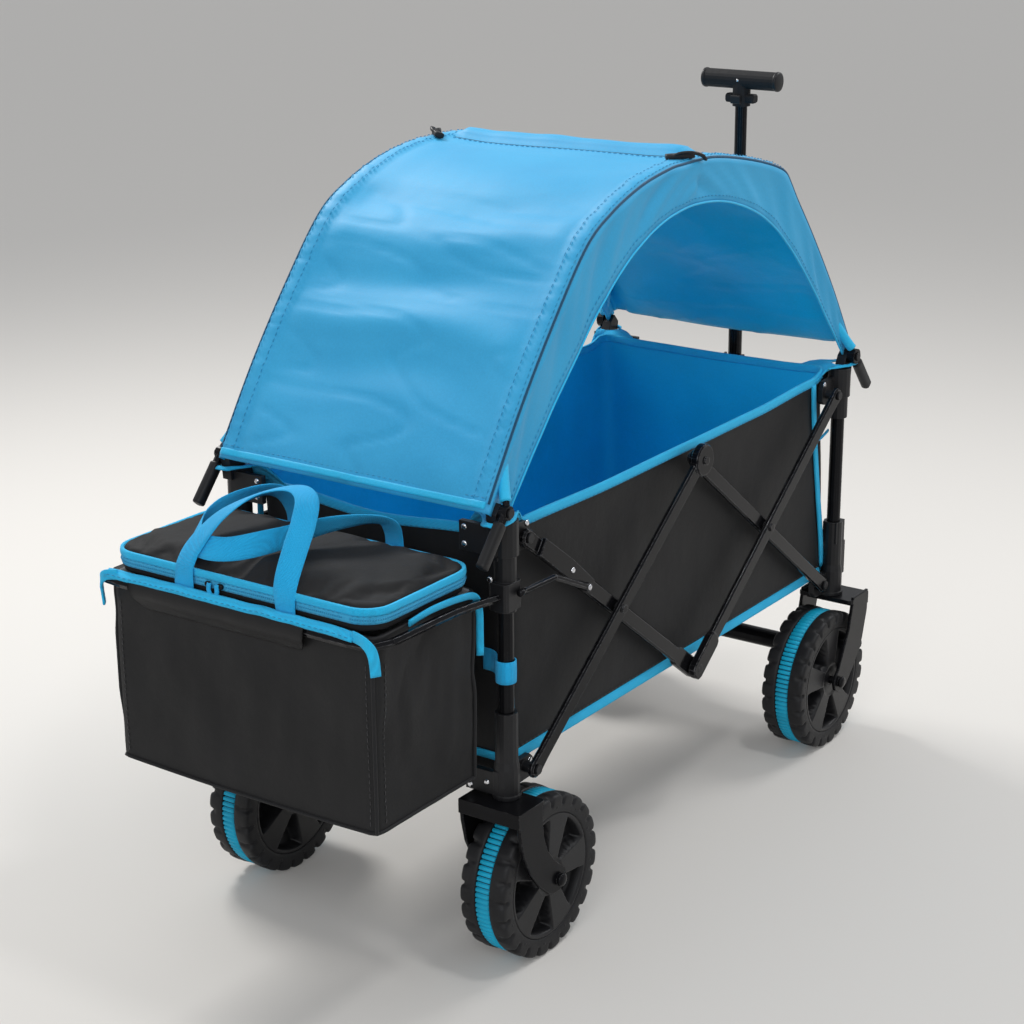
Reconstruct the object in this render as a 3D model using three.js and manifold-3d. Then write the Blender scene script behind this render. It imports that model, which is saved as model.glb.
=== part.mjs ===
// Folding pull wagon: a steel frame on four wide wheels that folds lengthwise on side scissors,
// a sewn open-top tub, a two-part arched canopy, a cooler bag on a rack and a telescoping pull handle.
// Millimetres. Origin on the floor under the middle of the overall box, +Z up, long axis on Y,
// cooler-bag end at -Y and pull-handle end at +Y. Pieces are drawn about the middle of the wheelbase,
// and the finished group is moved so that the origin lies under the middle of the overall box.
import * as THREE from 'three';
import { mergeVertices } from 'three/addons/utils/BufferGeometryUtils.js';
import Module from 'manifold-3d';

const wasm = await Module();
wasm.setup();

// ---- driving dimensions --------------------------------------------------------------------
const POST_X = 215; // corner posts, from the middle
const POST_Y = 450;
const PIVOT_Y = 410; // scissor end pivots, just inside the posts
const PIVOT_LOW = 262;
const PIVOT_HIGH = 572;
const POST_R = 10.5; // lower, outer post tube
const POST_BORE = 9.6;
const INNER_R = 9.1; // upper tube that telescopes in the post
const SLEEVE_BORE = 10.9;
const INNER_PLANE = [215, 224]; // the two planes that the scissor bars lie in
const OUTER_PLANE = [226, 235];
const BAR_HALF = 11;
const PIN_R = 3.9;
const HOLE_R = 4.1;
const WHEEL_R = 110;
const WHEEL_Y = 400;
const WHEEL_HALF = 33;
const BAND_HALF = 10.2;
const AXLE_R = 5.8;
const TUB_X = 204;
const TUB_Y = 432;
const TUB_FLOOR = 276;
const TUB_WALL = 5;
const BAG_X = 211;
const BAG_FRONT = -704;
const BAG_BACK = -500;
const BAG_FLOOR = 280;
const BAG_RIM = 530;
const RACK_R = 5.5;
const CANOPY_X = 217;
const CANOPY_SHEET = 3;
const CANOPY_PIVOT = [468, 622]; // foot pivot, as |y| and z
const RIDGE_Z = 972;
const POLE_X = 208;
const POLE_R = 4.5;
const HANDLE_Y = 505;
const HANDLE_PIVOT_Z = 238;
const GRIP_Z = 1025.5;
const WHEELBASE_SHIFT = 97.8; // from the middle of the overall box to the middle of the wheelbase

// ---- materials -----------------------------------------------------------------------------
const paint = (color, roughness, metalness) => new THREE.MeshStandardMaterial({ color, roughness, metalness });
const blackMetal = paint(0x1b1b1d, 0.35, 0.6);
const blackPlastic = paint(0x222224, 0.6, 0);
const treadRubber = paint(0x262628, 0.75, 0);
const bandRubber = paint(0x2a9cc4, 0.55, 0);
const blueFabric = paint(0x3f97cf, 0.8, 0);
const blackFabric = paint(0x242427, 0.85, 0);

// ---- closed solids -------------------------------------------------------------------------
function welded(geometry) {
  const plain = geometry.clone();
  plain.deleteAttribute('normal');
  plain.deleteAttribute('uv');
  const g = mergeVertices(plain, 1e-4);
  const kept = [];
  const index = g.index.array;
  for (let i = 0; i < index.length; i += 3) {
    const [a, b, c] = [index[i], index[i + 1], index[i + 2]];
    if (a !== b && b !== c && c !== a) kept.push(a, b, c);
  }
  const p = g.attributes.position;
  const at = (k) => new THREE.Vector3().fromBufferAttribute(p, k);
  let volume = 0;
  for (let i = 0; i < kept.length; i += 3) {
    volume += at(kept[i]).dot(at(kept[i + 1]).cross(at(kept[i + 2])));
  }
  if (volume < 0) kept.reverse();
  g.setIndex(kept);
  return g;
}

function solid(geometry) {
  const g = welded(geometry);
  return new wasm.Manifold(new wasm.Mesh({
    numProp: 3,
    vertProperties: new Float32Array(g.attributes.position.array),
    triVerts: new Uint32Array(g.index.array),
  }));
}

const join = (...solids) => wasm.Manifold.union(solids);
const cut = (from, ...solids) => wasm.Manifold.difference([from, ...solids]);

function box(x0, x1, y0, y1, z0, z1) {
  const g = new THREE.BoxGeometry(x1 - x0, y1 - y0, z1 - z0);
  return solid(g.translate((x0 + x1) / 2, (y0 + y1) / 2, (z0 + z1) / 2));
}

function rodX(r, x0, x1, y, z, sides = 12) {
  const g = new THREE.CylinderGeometry(r, r, x1 - x0, sides).rotateZ(Math.PI / 2);
  return solid(g.translate((x0 + x1) / 2, y, z));
}

function rodZ(r, x, y, z0, z1, sides = 16) {
  const g = new THREE.CylinderGeometry(r, r, z1 - z0, sides).rotateX(Math.PI / 2);
  return solid(g.translate(x, y, (z0 + z1) / 2));
}

// a straight rod with round ends between two points
function rod(r, from, to, sides = 7) {
  const a = new THREE.Vector3(...from);
  const b = new THREE.Vector3(...to);
  const g = new THREE.CylinderGeometry(r, r, a.distanceTo(b), sides);
  const turn = new THREE.Quaternion().setFromUnitVectors(new THREE.Vector3(0, 1, 0), b.clone().sub(a).normalize());
  g.applyQuaternion(turn);
  const middle = a.clone().add(b).multiplyScalar(0.5);
  g.translate(middle.x, middle.y, middle.z);
  return solid(g);
}

const ball = (r, at) => solid(new THREE.SphereGeometry(r, 6, 4).translate(...at));

function shapeOf(points, holes = []) {
  const shape = new THREE.Shape(points.map(([u, v]) => new THREE.Vector2(u, v)));
  for (const hole of holes) shape.holes.push(new THREE.Path(hole.map(([u, v]) => new THREE.Vector2(u, v))));
  return shape;
}

const alongX = new THREE.Matrix4().makeBasis(
  new THREE.Vector3(0, 1, 0), new THREE.Vector3(0, 0, 1), new THREE.Vector3(1, 0, 0));

// a (y, z) outline pushed along X, with its edges rounded off by edge
function prismX(points, x0, x1, edge = 0, holes = [], rounds = 1) {
  const g = new THREE.ExtrudeGeometry(shapeOf(points, holes), {
    depth: x1 - x0 - 2 * edge,
    bevelEnabled: edge > 0,
    bevelThickness: edge,
    bevelSize: edge,
    bevelOffset: -edge,
    bevelSegments: rounds,
  });
  return solid(g.translate(0, 0, x0 + edge).applyMatrix4(alongX));
}

function prismZ(points, z0, z1) {
  const g = new THREE.ExtrudeGeometry(shapeOf(points), { depth: z1 - z0, bevelEnabled: false });
  return solid(g.translate(0, 0, z0));
}

// a closed (radius, height) profile turned about a vertical axis
function turnZ(profile, x, y, sides = 16) {
  const points = [...profile, profile[0]].map(([r, z]) => new THREE.Vector2(r, z));
  return solid(new THREE.LatheGeometry(points, sides).rotateX(Math.PI / 2).translate(x, y, 0));
}

function circle(r, u, v, sides) {
  return Array.from({ length: sides }, (_, i) => {
    const a = (2 * Math.PI * i) / sides;
    return [u + r * Math.cos(a), v + r * Math.sin(a)];
  });
}

function roundedRect(u0, u1, v0, v1, r, steps = 4) {
  const corners = [[u1 - r, v1 - r, 0], [u0 + r, v1 - r, 1], [u0 + r, v0 + r, 2], [u1 - r, v0 + r, 3]];
  return corners.flatMap(([u, v, quarter]) => Array.from({ length: steps + 1 }, (_, i) => {
    const a = (Math.PI / 2) * (quarter + i / steps);
    return [u + r * Math.cos(a), v + r * Math.sin(a)];
  }));
}

// a round tube or rod along a smooth path
function sweep(points, r, steps, sides = 8) {
  const path = new THREE.CatmullRomCurve3(points.map((p) => new THREE.Vector3(...p)), false, 'centripetal');
  const ring = shapeOf(circle(r, 0, 0, sides));
  return solid(new THREE.ExtrudeGeometry(ring, { steps, bevelEnabled: false, extrudePath: path }));
}

// ---- the assembly --------------------------------------------------------------------------
const wagon = new THREE.Group();
wagon.name = 'folding_pull_wagon';

function geometryOf(made) {
  const { numProp, vertProperties, triVerts } = made.getMesh();
  const g = new THREE.BufferGeometry();
  const position = new Float32Array((vertProperties.length / numProp) * 3);
  for (let i = 0; i < position.length / 3; i++) {
    for (let k = 0; k < 3; k++) position[3 * i + k] = vertProperties[numProp * i + k];
  }
  g.setAttribute('position', new THREE.BufferAttribute(position, 3));
  g.setIndex(Array.from(triVerts));
  return g;
}

function put(name, made, material, mirror = [1, 1, 1]) {
  const g = geometryOf(made).scale(...mirror);
  if (mirror[0] * mirror[1] * mirror[2] < 0) g.setIndex(Array.from(g.index.array).reverse());
  g.computeVertexNormals();
  const mesh = new THREE.Mesh(g, material);
  mesh.name = name;
  wagon.add(mesh);
}

// the right-hand piece as built, and the left-hand one mirrored across the middle
function putPair(name, made, material, far = false) {
  put(`${name}_right`, made, material, [1, far ? -1 : 1, 1]);
  put(`${name}_left`, made, material, [-1, far ? -1 : 1, 1]);
}

// a pin that carries a bar lying between planes, with a collar behind the bar and a head before it
function pivotPin(y, z, plane) {
  return join(
    rodX(PIN_R, 212, plane[1] + 2, y, z),
    rodX(7.5, 213, Math.max(plane[0] - 0.4, 214.6), y, z),
    rodX(6.5, plane[1] + 0.4, plane[1] + 3, y, z),
  );
}

// ---- lower corner brackets and posts: drawn at the near right corner -------------------------
function bracket(plane, sleeveTop, stepped) {
  const cup = turnZ([
    [0, 240], [17, 240], [17, 276], [15, 286], [15, sleeveTop], [SLEEVE_BORE, sleeveTop],
    [SLEEVE_BORE, 262], [0, 262],
  ], POST_X, -POST_Y);
  const parts = [
    cup,
    turnZ([[0, 236], [19, 236], [19, 241], [0, 241]], POST_X, -POST_Y),
    prismX([[-468, 240], [-398, 243], [-391, 250], [-391, 268], [-397, 274], [-468, 274]], 206, 214.5),
    box(163, POST_X, -467, -458, 241, 272),
    pivotPin(-PIVOT_Y, PIVOT_LOW, plane),
  ];
  if (stepped) parts.push(box(200, 228, -468, -446, 268, 322), box(203, 227, -466, -438, 322, sleeveTop));
  return cut(
    join(...parts),
    rodZ(SLEEVE_BORE, POST_X, -POST_Y, 262, sleeveTop + 5),
    rodZ(6.2, POST_X, -POST_Y, 230, 253, 16),
  );
}

putPair('near_bracket', bracket(OUTER_PLANE, 352, false), blackPlastic);
putPair('far_bracket', bracket(INNER_PLANE, 357, true), blackPlastic, true);

const post = turnZ([
  [POST_BORE, 262.5], [POST_R, 262.5], [POST_R, 556], [POST_BORE, 556],
], POST_X, -POST_Y);
putPair('near_post', post, blackMetal);
putPair('far_post', post, blackMetal, true);

put('near_cross_tube', rodX(8, -180, 180, -449.5, 257), blackMetal);
put('far_cross_tube', rodX(8, -180, 180, 449.5, 257), blackMetal);

// ---- upper corner hubs with their telescoping tubes -------------------------------------------
function hub(plane, collarBottom, clamp) {
  const [footY, footZ] = CANOPY_PIVOT;
  const parts = [
    rodZ(17.5, POST_X, -POST_Y, 561, 606),
    rodZ(14.5, POST_X, -POST_Y, collarBottom, 562),
    prismX([[-466, 556], [-404, 556], [-396, 563], [-396, 582], [-404, 592], [-466, 596]], 206, 214.5),
    box(160, POST_X, -470, -462, 563, 601),
    pivotPin(-PIVOT_Y, PIVOT_HIGH, plane),
    prismX([[-440, 590], [-476, 590], [-479, 620], [-468, 632], [-457, 622]], 207, 222),
    rodX(PIN_R, 220, 237, -footY, footZ),
    rodX(6, 235.4, 238, -footY, footZ),
  ];
  if (clamp) parts.push(prismZ(roundedRect(202, 231, -470, -436, 5, 2), 492, 528));
  const body = cut(join(...parts), rodZ(SLEEVE_BORE, POST_X, -POST_Y, collarBottom - 5, 561));
  return join(body, rodZ(INNER_R, POST_X, -POST_Y, 300, 563));
}

putPair('near_hub', hub(INNER_PLANE, 488, true), blackPlastic);
putPair('far_hub', hub(OUTER_PLANE, 527, false), blackPlastic, true);

// ---- side scissors ------------------------------------------------------------------------------
// a flattened tube from one (y, z) point to another, with round ends
function barBody(from, to, plane, endR = 12) {
  const length = Math.hypot(to[0] - from[0], to[1] - from[1]);
  const lean = Math.atan2(to[1] - from[1], to[0] - from[0]);
  const outline = [];
  for (const [u, start] of [[length, -1], [0, 1]]) {
    for (let i = 0; i <= 5; i++) {
      const a = (start * Math.PI) / 2 + (Math.PI * i) / 5;
      outline.push([u + endR * Math.cos(a), endR * Math.sin(a)]);
    }
    const side = start < 0 ? 1 : -1;
    outline.push([start < 0 ? length - 2 * endR : 2 * endR, side * BAR_HALF]);
    outline.push([start < 0 ? 2 * endR : length - 2 * endR, side * BAR_HALF]);
  }
  const turned = outline.map(([u, v]) => [
    from[0] + u * Math.cos(lean) - v * Math.sin(lean),
    from[1] + u * Math.sin(lean) + v * Math.cos(lean),
  ]);
  return prismX(turned, plane[0], plane[1], 2.4);
}

const middleOf = (a, b) => [(a[0] + b[0]) / 2, (a[1] + b[1]) / 2];
const NEAR_LOW = [-PIVOT_Y, PIVOT_LOW];
const NEAR_HIGH = [-PIVOT_Y, PIVOT_HIGH];
const MID_LOW = [0, PIVOT_LOW];
const MID_HIGH = [0, PIVOT_HIGH];
const FAR_LOW = [PIVOT_Y, PIVOT_LOW];
const FAR_HIGH = [PIVOT_Y, PIVOT_HIGH];

const holeAt = (p) => rodX(HOLE_R, 205, 245, ...p);
// a pin on an outer bar, through the inner bar beside it, with a washer between and heads outside
const linkPin = (p) => join(
  rodX(PIN_R, 212.6, 228, ...p),
  rodX(8, 224.4, 227, ...p),
  rodX(6.5, 211.8, 214.6, ...p),
  rodX(6, 234, 237.5, ...p),
);
// a moulded cap around a bar's lower end, running a little way up the bar
function elbow(at, towards, plane) {
  const lean = Math.atan2(towards[1] - at[1], towards[0] - at[0]);
  const outline = roundedRect(-15, 60, -14, 14, 10, 2).map(([u, v]) => [
    at[0] + u * Math.cos(lean) - v * Math.sin(lean),
    at[1] + u * Math.sin(lean) + v * Math.cos(lean),
  ]);
  return prismX(outline, plane[0], plane[1], 1.5);
}

const nearLowBar = cut(join(
  barBody(NEAR_LOW, MID_HIGH, OUTER_PLANE),
  linkPin(middleOf(NEAR_LOW, MID_HIGH)),
  linkPin(MID_HIGH),
  prismX(circle(23, ...MID_HIGH, 20), 225.6, 238.5, 2),
  rodX(6, 238, 241, ...MID_HIGH),
), holeAt(NEAR_LOW));
const farLowBar = cut(
  barBody(MID_HIGH, FAR_LOW, INNER_PLANE, 12),
  holeAt(MID_HIGH), holeAt(middleOf(MID_HIGH, FAR_LOW)), holeAt(FAR_LOW),
);
const farHighBar = cut(join(
  barBody(MID_LOW, FAR_HIGH, OUTER_PLANE),
  linkPin(middleOf(MID_LOW, FAR_HIGH)),
  linkPin(MID_LOW),
  elbow(MID_LOW, FAR_HIGH, [225.4, 237]),
), holeAt(FAR_HIGH));

// the bar that also carries the riveted stay plate and the bent stay rod beside the post clamp
const along = (t, off) => [
  NEAR_HIGH[0] + PIVOT_Y * t - off * 0.603,
  NEAR_HIGH[1] - (PIVOT_HIGH - PIVOT_LOW) * t - off * 0.798,
];
const stayPlate = prismX([
  along(0.055, -12), along(0.055, 12), along(0.2, 13), along(0.3, 12), along(0.33, 6), along(0.33, -9), along(0.2, -13),
], 223, 230.5, 1);
const stayRod = join(
  rod(POLE_R, [236, -440, 514], [236, -372, 512]),
  ball(POLE_R, [236, -372, 512]),
  rod(POLE_R, [236, -372, 512], [236, -294, 475]),
  rodX(6, 229, 239.5, -296, 476),
);
const nearHighBar = cut(
  join(
    cut(barBody(NEAR_HIGH, MID_LOW, INNER_PLANE), holeAt(middleOf(NEAR_HIGH, MID_LOW))),
    elbow(MID_LOW, NEAR_HIGH, INNER_PLANE),
    stayPlate,
    stayRod,
  ),
  holeAt(NEAR_HIGH), holeAt(MID_LOW),
);
putPair('near_low_bar', nearLowBar, blackMetal);
putPair('far_low_bar', farLowBar, blackMetal);
putPair('near_high_bar', nearHighBar, blackMetal);
putPair('far_high_bar', farHighBar, blackMetal);

// ---- forks: drawn at the near right corner --------------------------------------------------------
const casterArm = [
  [-490, 235], [-488, 205], [-480, 172], [-465, 142], [-445, 117], [-424, 98], [-411, 93.4], [-398, 93],
  [-387, 99], [-382.6, 110], [-386, 121], [-396, 129], [-412, 143], [-426, 161], [-434, 183], [-437, 205], [-437, 235],
];
const fixedArm = [
  [-490, 239], [-489, 205], [-476, 160], [-450, 122], [-424, 98], [-411, 93.4], [-398, 93], [-387, 99],
  [-382.6, 110], [-386, 121], [-396, 130], [-428, 190], [-440, 239],
];

function fork(arm, top, back, stem) {
  const parts = [
    prismZ(roundedRect(168, 262, -491, back, 6, 2), top - 6.5, top - 0.5),
    prismX(arm, 168, 173.5, 1),
    prismX(arm, 256.5, 262, 1),
    rodX(AXLE_R, 165, 265, -WHEEL_Y, WHEEL_R, 16),
    rodX(8, 262, 266, -WHEEL_Y, WHEEL_R),
    rodX(8, 164, 168, -WHEEL_Y, WHEEL_R),
    box(168, 262, -491, -486, top - 20, top - 0.5),
  ];
  if (stem) parts.push(rodZ(6, POST_X, -POST_Y, top - 5, 250, 16));
  else parts.push(box(176, 254, -486, -446, top - 14, top - 1));
  return join(...parts);
}

putPair('near_fork', fork(casterArm, 236, -431, true), blackMetal);
putPair('far_fork', fork(fixedArm, 236, -431, false), blackMetal, true);
put('far_axle_tube', rodX(14.5, -167.5, 167.5, 441, 138, 20), blackMetal);

// ---- wheels -----------------------------------------------------------------------------------------
// the tread edge: blocky lugs, each with a flat top, so the wheel stands on one of them
function lugs(count) {
  const halfTop = (2 * Math.PI * 0.34) / count;
  const steps = [[-0.34, 0], [0.34, 0], [0.44, 6], [0.56, 6]];
  return Array.from({ length: count }, (_, i) => steps.map(([part, depth]) => {
    const a = (2 * Math.PI * (i + part)) / count - Math.PI / 2;
    const r = WHEEL_R / Math.cos(halfTop) - depth;
    return [r * Math.cos(a), r * Math.sin(a)];
  })).flat();
}

const CORE_R = 84;
const treadEdge = (x0, x1) => prismX(lugs(16), x0, x1, 0, [circle(CORE_R + 0.4, 0, 0, 28).reverse()]);
const tyre = join(
  treadEdge(BAND_HALF + 0.4, WHEEL_HALF),
  treadEdge(-WHEEL_HALF, -BAND_HALF - 0.4),
  prismX(circle(97, 0, 0, 28), -14, 14, 0, [circle(CORE_R + 0.4, 0, 0, 28).reverse()]),
);
const band = prismX(circle(WHEEL_R - 1.5, 0, 0, 48), -BAND_HALF, BAND_HALF, 0, [circle(98, 0, 0, 28).reverse()]);

// the sunk openings between the spokes
const pocket = (turn, x0, x1) => prismX([
  [29, -5], [64, -24], [70, -21], [74, 0], [70, 21], [64, 24], [29, 5],
].map(([u, v]) => [u * Math.cos(turn) - v * Math.sin(turn), u * Math.sin(turn) + v * Math.cos(turn)]), x0, x1);
const pockets = [];
for (let i = 0; i < 5; i++) {
  const turn = (Math.PI / 2.5) * i + 0.4;
  pockets.push(pocket(turn, 6, 40), pocket(turn, -40, -6));
}
const core = cut(
  prismX(circle(CORE_R, 0, 0, 28), -WHEEL_HALF + 1, WHEEL_HALF - 1),
  rodX(AXLE_R + 0.2, -40, 40, 0, 0, 16),
  ...pockets,
);

for (const [end, y] of [['near', -WHEEL_Y], ['far', WHEEL_Y]]) {
  for (const [side, x] of [['right', POST_X], ['left', -POST_X]]) {
    const placed = [['wheel_core', core, blackPlastic], ['tyre', tyre, treadRubber], ['wheel_band', band, bandRubber]];
    for (const [name, made, material] of placed) {
      put(`${end}_${name}_${side}`, made, material);
      wagon.children.at(-1).geometry.translate(x, y, WHEEL_R);
    }
  }
}

// ---- bag rack, cooler bag and lid ---------------------------------------------------------------------
const half = [
  [219, -473.5, 511], [219, -505, 515], [219, -560, 520], [219, -686, 522], [216.5, -700, 522], [209, -709.5, 522],
  [196, -712, 522], [100, -712, 522],
];
const rackPath = [...half, ...half.map(([x, y, z]) => [-x, y, z]).reverse()];
put('bag_rack', sweep(rackPath, RACK_R, 30, 6), blackMetal);

const bagPlan = (inset) => roundedRect(-BAG_X + inset, BAG_X - inset, BAG_FRONT + inset, BAG_BACK - inset, 18 - inset);
put('bag_body', cut(
  prismZ(bagPlan(0), BAG_FLOOR, BAG_RIM),
  prismZ(bagPlan(8), BAG_FLOOR + 10, BAG_RIM + 5),
), blackFabric);
const lidPlan = roundedRect(-BAG_X, BAG_X, BAG_FRONT, BAG_BACK - 0.6, 18);
put('bag_lid', prismZ(lidPlan, BAG_RIM + 0.6, 560), blackFabric);

// ---- tub -----------------------------------------------------------------------------------------------
const above = TUB_FLOOR + 6.4;
const matX = TUB_X - TUB_WALL - 0.5; // the stiffened mat lies between the walls
const matY = TUB_Y - TUB_WALL - 0.5;
put('tub_floor', join(
  box(-TUB_X, TUB_X, -TUB_Y, TUB_Y, TUB_FLOOR, TUB_FLOOR + 6),
  box(-matX, matX, -matY, matY, TUB_FLOOR + 5, TUB_FLOOR + 8),
), blackFabric);
putPair('tub_side', box(TUB_X - TUB_WALL, TUB_X, -TUB_Y, TUB_Y, above, 588), blackFabric);
const endX = TUB_X - TUB_WALL - 0.4;
put('tub_near_end', box(-endX, endX, -TUB_Y, -TUB_Y + TUB_WALL, above, 585), blackFabric);
put('tub_far_end', box(-endX, endX, TUB_Y - TUB_WALL, TUB_Y, above, 603), blackFabric);

// ---- canopy -----------------------------------------------------------------------------------------------
// the arch from the ridge to a foot, as (distance from the ridge line, height)
const arch = [[0, 985], [35, 984.6], [70, 983], [140, 971], [210, 947], [270, 912], [345, 828], [415, 738], [474, 650]];

function inset(points, by) {
  return points.map((p, i) => {
    const a = points[Math.max(i - 1, 0)];
    const b = points[Math.min(i + 1, points.length - 1)];
    const length = Math.hypot(b[0] - a[0], b[1] - a[1]);
    return [p[0] + (by * (b[1] - a[1])) / length, p[1] - (by * (b[0] - a[0])) / length];
  });
}

// drawn at the near end, with the arch running down towards -Y
const nearArch = arch.map(([d, z]) => [-d, z]);
function cover(hem, opening) {
  const outer = [[-0.6, 985], ...nearArch.slice(1), hem];
  const inner = inset([...arch, [-hem[0], hem[1]]], CANOPY_SHEET).map(([d, z]) => [-d, z]);
  inner[0] = [-0.6, 985 - CANOPY_SHEET];
  const sheet = prismX([...outer, ...inner.reverse()], -CANOPY_X, CANOPY_X);
  const side = [[-0.6, 984], ...inset(arch, 1).slice(1).map(([d, z]) => [-d, z]), ...opening];
  const footGap = (x0, x1) => box(x0, x1, -505, -425, 600, 690);
  return cut(
    join(sheet, prismX(side, CANOPY_X - 3, CANOPY_X), prismX(side, -CANOPY_X, -CANOPY_X + 3)),
    footGap(200, 220),
    footGap(-220, -200),
  );
}

put('canopy_near_cover', cover([-490, 624], [
  [-376, 640], [-328, 700], [-283, 768], [-237, 830], [-167, 896], [-94, 927], [-0.6, 934],
]), blueFabric);
put('canopy_far_cover', cover([-478, 645], [
  [-436, 660], [-394, 700], [-307, 785], [-209, 865], [-120, 910], [-0.6, 934],
]), blueFabric, [1, -1, 1]);

function pole(footHole, lugX, pin) {
  const [footY, footZ] = CANOPY_PIVOT;
  const line = inset(arch.slice(1, -1), 10.5).map(([d, z]) => [POLE_X, -d, z]);
  const run = [[POLE_X, -11, RIDGE_Z], ...line.slice(1), [POLE_X, -446, 672]];
  const parts = [rodX(POLE_R, -POLE_X, POLE_X, -40, 971.5, 8)];
  const holes = [];
  for (const s of [1, -1]) {
    const at = ([x, y, z]) => [s * x, y, z];
    const wide = (r, x0, x1, y, z) => (s > 0 ? rodX(r, x0, x1, y, z) : rodX(r, -x1, -x0, y, z));
    parts.push(
      sweep(run.map(at), POLE_R, 9, 6),
      rod(POLE_R, at([POLE_X, -445, 673]), at([229, -footY + 2, footZ + 8])),
      ball(POLE_R, at([POLE_X, -445, 673])),
      rod(6, at([229, -footY - 50, footZ - 56]), at([229, -footY + 4, footZ + 7])),
      wide(footHole + 5, 223, 235, -footY, footZ),
      wide(8, lugX[0], lugX[1], 0, RIDGE_Z),
      s > 0 ? box(lugX[0], lugX[1], -16, -2, RIDGE_Z - 4, RIDGE_Z + 4)
        : box(-lugX[1], -lugX[0], -16, -2, RIDGE_Z - 4, RIDGE_Z + 4),
    );
    holes.push(wide(footHole, 220, 240, -footY, footZ));
    if (pin) parts.push(wide(3, 199, 210, 0, RIDGE_Z), wide(5.5, 198, 202.5, 0, RIDGE_Z));
    else holes.push(wide(3.15, 196, 214, 0, RIDGE_Z));
  }
  return cut(join(...parts), ...holes);
}

put('canopy_near_pole', pole(HOLE_R, [203, 207.8], false), blackMetal);
put('canopy_far_pole', pole(7, [208.2, 212.8], true), blackMetal, [1, -1, 1]);

// ---- pull handle ---------------------------------------------------------------------------------------------
put('handle_bracket', join(
  cut(box(-22, 22, 458, 520, 222, 256), box(-13, 13, 478, 525, 215, 260)),
  rodX(4, -21, 21, HANDLE_Y, HANDLE_PIVOT_Z),
), blackMetal);
put('handle_outer_tube', cut(
  join(
    rodZ(11, 0, HANDLE_Y, HANDLE_PIVOT_Z - 10, 658),
    rodZ(13.5, 0, HANDLE_Y, 636, 660),
  ),
  rodZ(9.9, 0, HANDLE_Y, 252, 700),
  rodX(4.2, -20, 20, HANDLE_Y, HANDLE_PIVOT_Z),
), blackMetal);
put('handle_inner_tube', rodZ(9.5, 0, HANDLE_Y, 578, 984.6), blackMetal);
put('handle_grip', join(
  rodZ(14, 0, HANDLE_Y, 985, GRIP_Z),
  prismX(circle(14.5, HANDLE_Y, GRIP_Z, 20), -65, 65, 3),
  prismX(roundedRect(HANDLE_Y - 9, HANDLE_Y + 9, 990, 1004, 4, 2), -25, 25, 2),
), blackPlastic);
put('handle_trigger', prismX(roundedRect(484, 490.6, 990, 1003, 2, 2), -8, 8), blackPlastic);
put('far_top_tube', join(
  rodX(7, -159, 159, 452, 578),
  box(-7, 7, 455, 490, 572, 584),
  cut(rodZ(18, 0, HANDLE_Y, 568, 588), rodZ(14.2, 0, HANDLE_Y, 560, 595), box(-20, 20, HANDLE_Y, 530, 560, 595)),
), blackPlastic);

wagon.position.set(0, WHEELBASE_SHIFT, 0);

export default wagon;
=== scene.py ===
"""Folding pull wagon: looks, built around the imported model's frame. Metres, row frame."""
import math
import bmesh
import bpy
from mathutils import Matrix, Vector, noise


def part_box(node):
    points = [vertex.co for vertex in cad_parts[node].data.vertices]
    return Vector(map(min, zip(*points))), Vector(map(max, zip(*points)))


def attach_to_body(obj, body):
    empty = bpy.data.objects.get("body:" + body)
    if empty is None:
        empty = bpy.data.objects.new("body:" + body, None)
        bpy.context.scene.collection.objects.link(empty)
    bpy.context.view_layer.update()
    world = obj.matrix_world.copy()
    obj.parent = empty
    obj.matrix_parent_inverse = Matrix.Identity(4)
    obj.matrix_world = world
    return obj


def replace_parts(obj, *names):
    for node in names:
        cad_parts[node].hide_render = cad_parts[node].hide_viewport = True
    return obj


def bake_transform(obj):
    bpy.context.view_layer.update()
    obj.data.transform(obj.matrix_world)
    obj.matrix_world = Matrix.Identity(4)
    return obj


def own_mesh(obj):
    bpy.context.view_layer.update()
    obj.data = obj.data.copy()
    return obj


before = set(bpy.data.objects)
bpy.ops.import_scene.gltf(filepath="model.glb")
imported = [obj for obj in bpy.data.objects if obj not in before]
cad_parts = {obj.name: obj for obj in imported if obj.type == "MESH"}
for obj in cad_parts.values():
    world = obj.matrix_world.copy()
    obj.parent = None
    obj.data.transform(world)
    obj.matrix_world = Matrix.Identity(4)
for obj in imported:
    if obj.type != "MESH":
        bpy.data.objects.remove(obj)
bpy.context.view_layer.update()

SIDES = (("right", 1), ("left", -1))
UP = Vector((0, 0, 1))
X_AXIS = Vector((1, 0, 0))
low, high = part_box("tub_floor")
MID = (low.y + high.y) / 2


def P(x, y, z):
    """A point given in millimetres from the middle of the wheelbase, as a point of the row frame."""
    return Vector((x / 1000, y / 1000 + MID, z / 1000))


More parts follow.
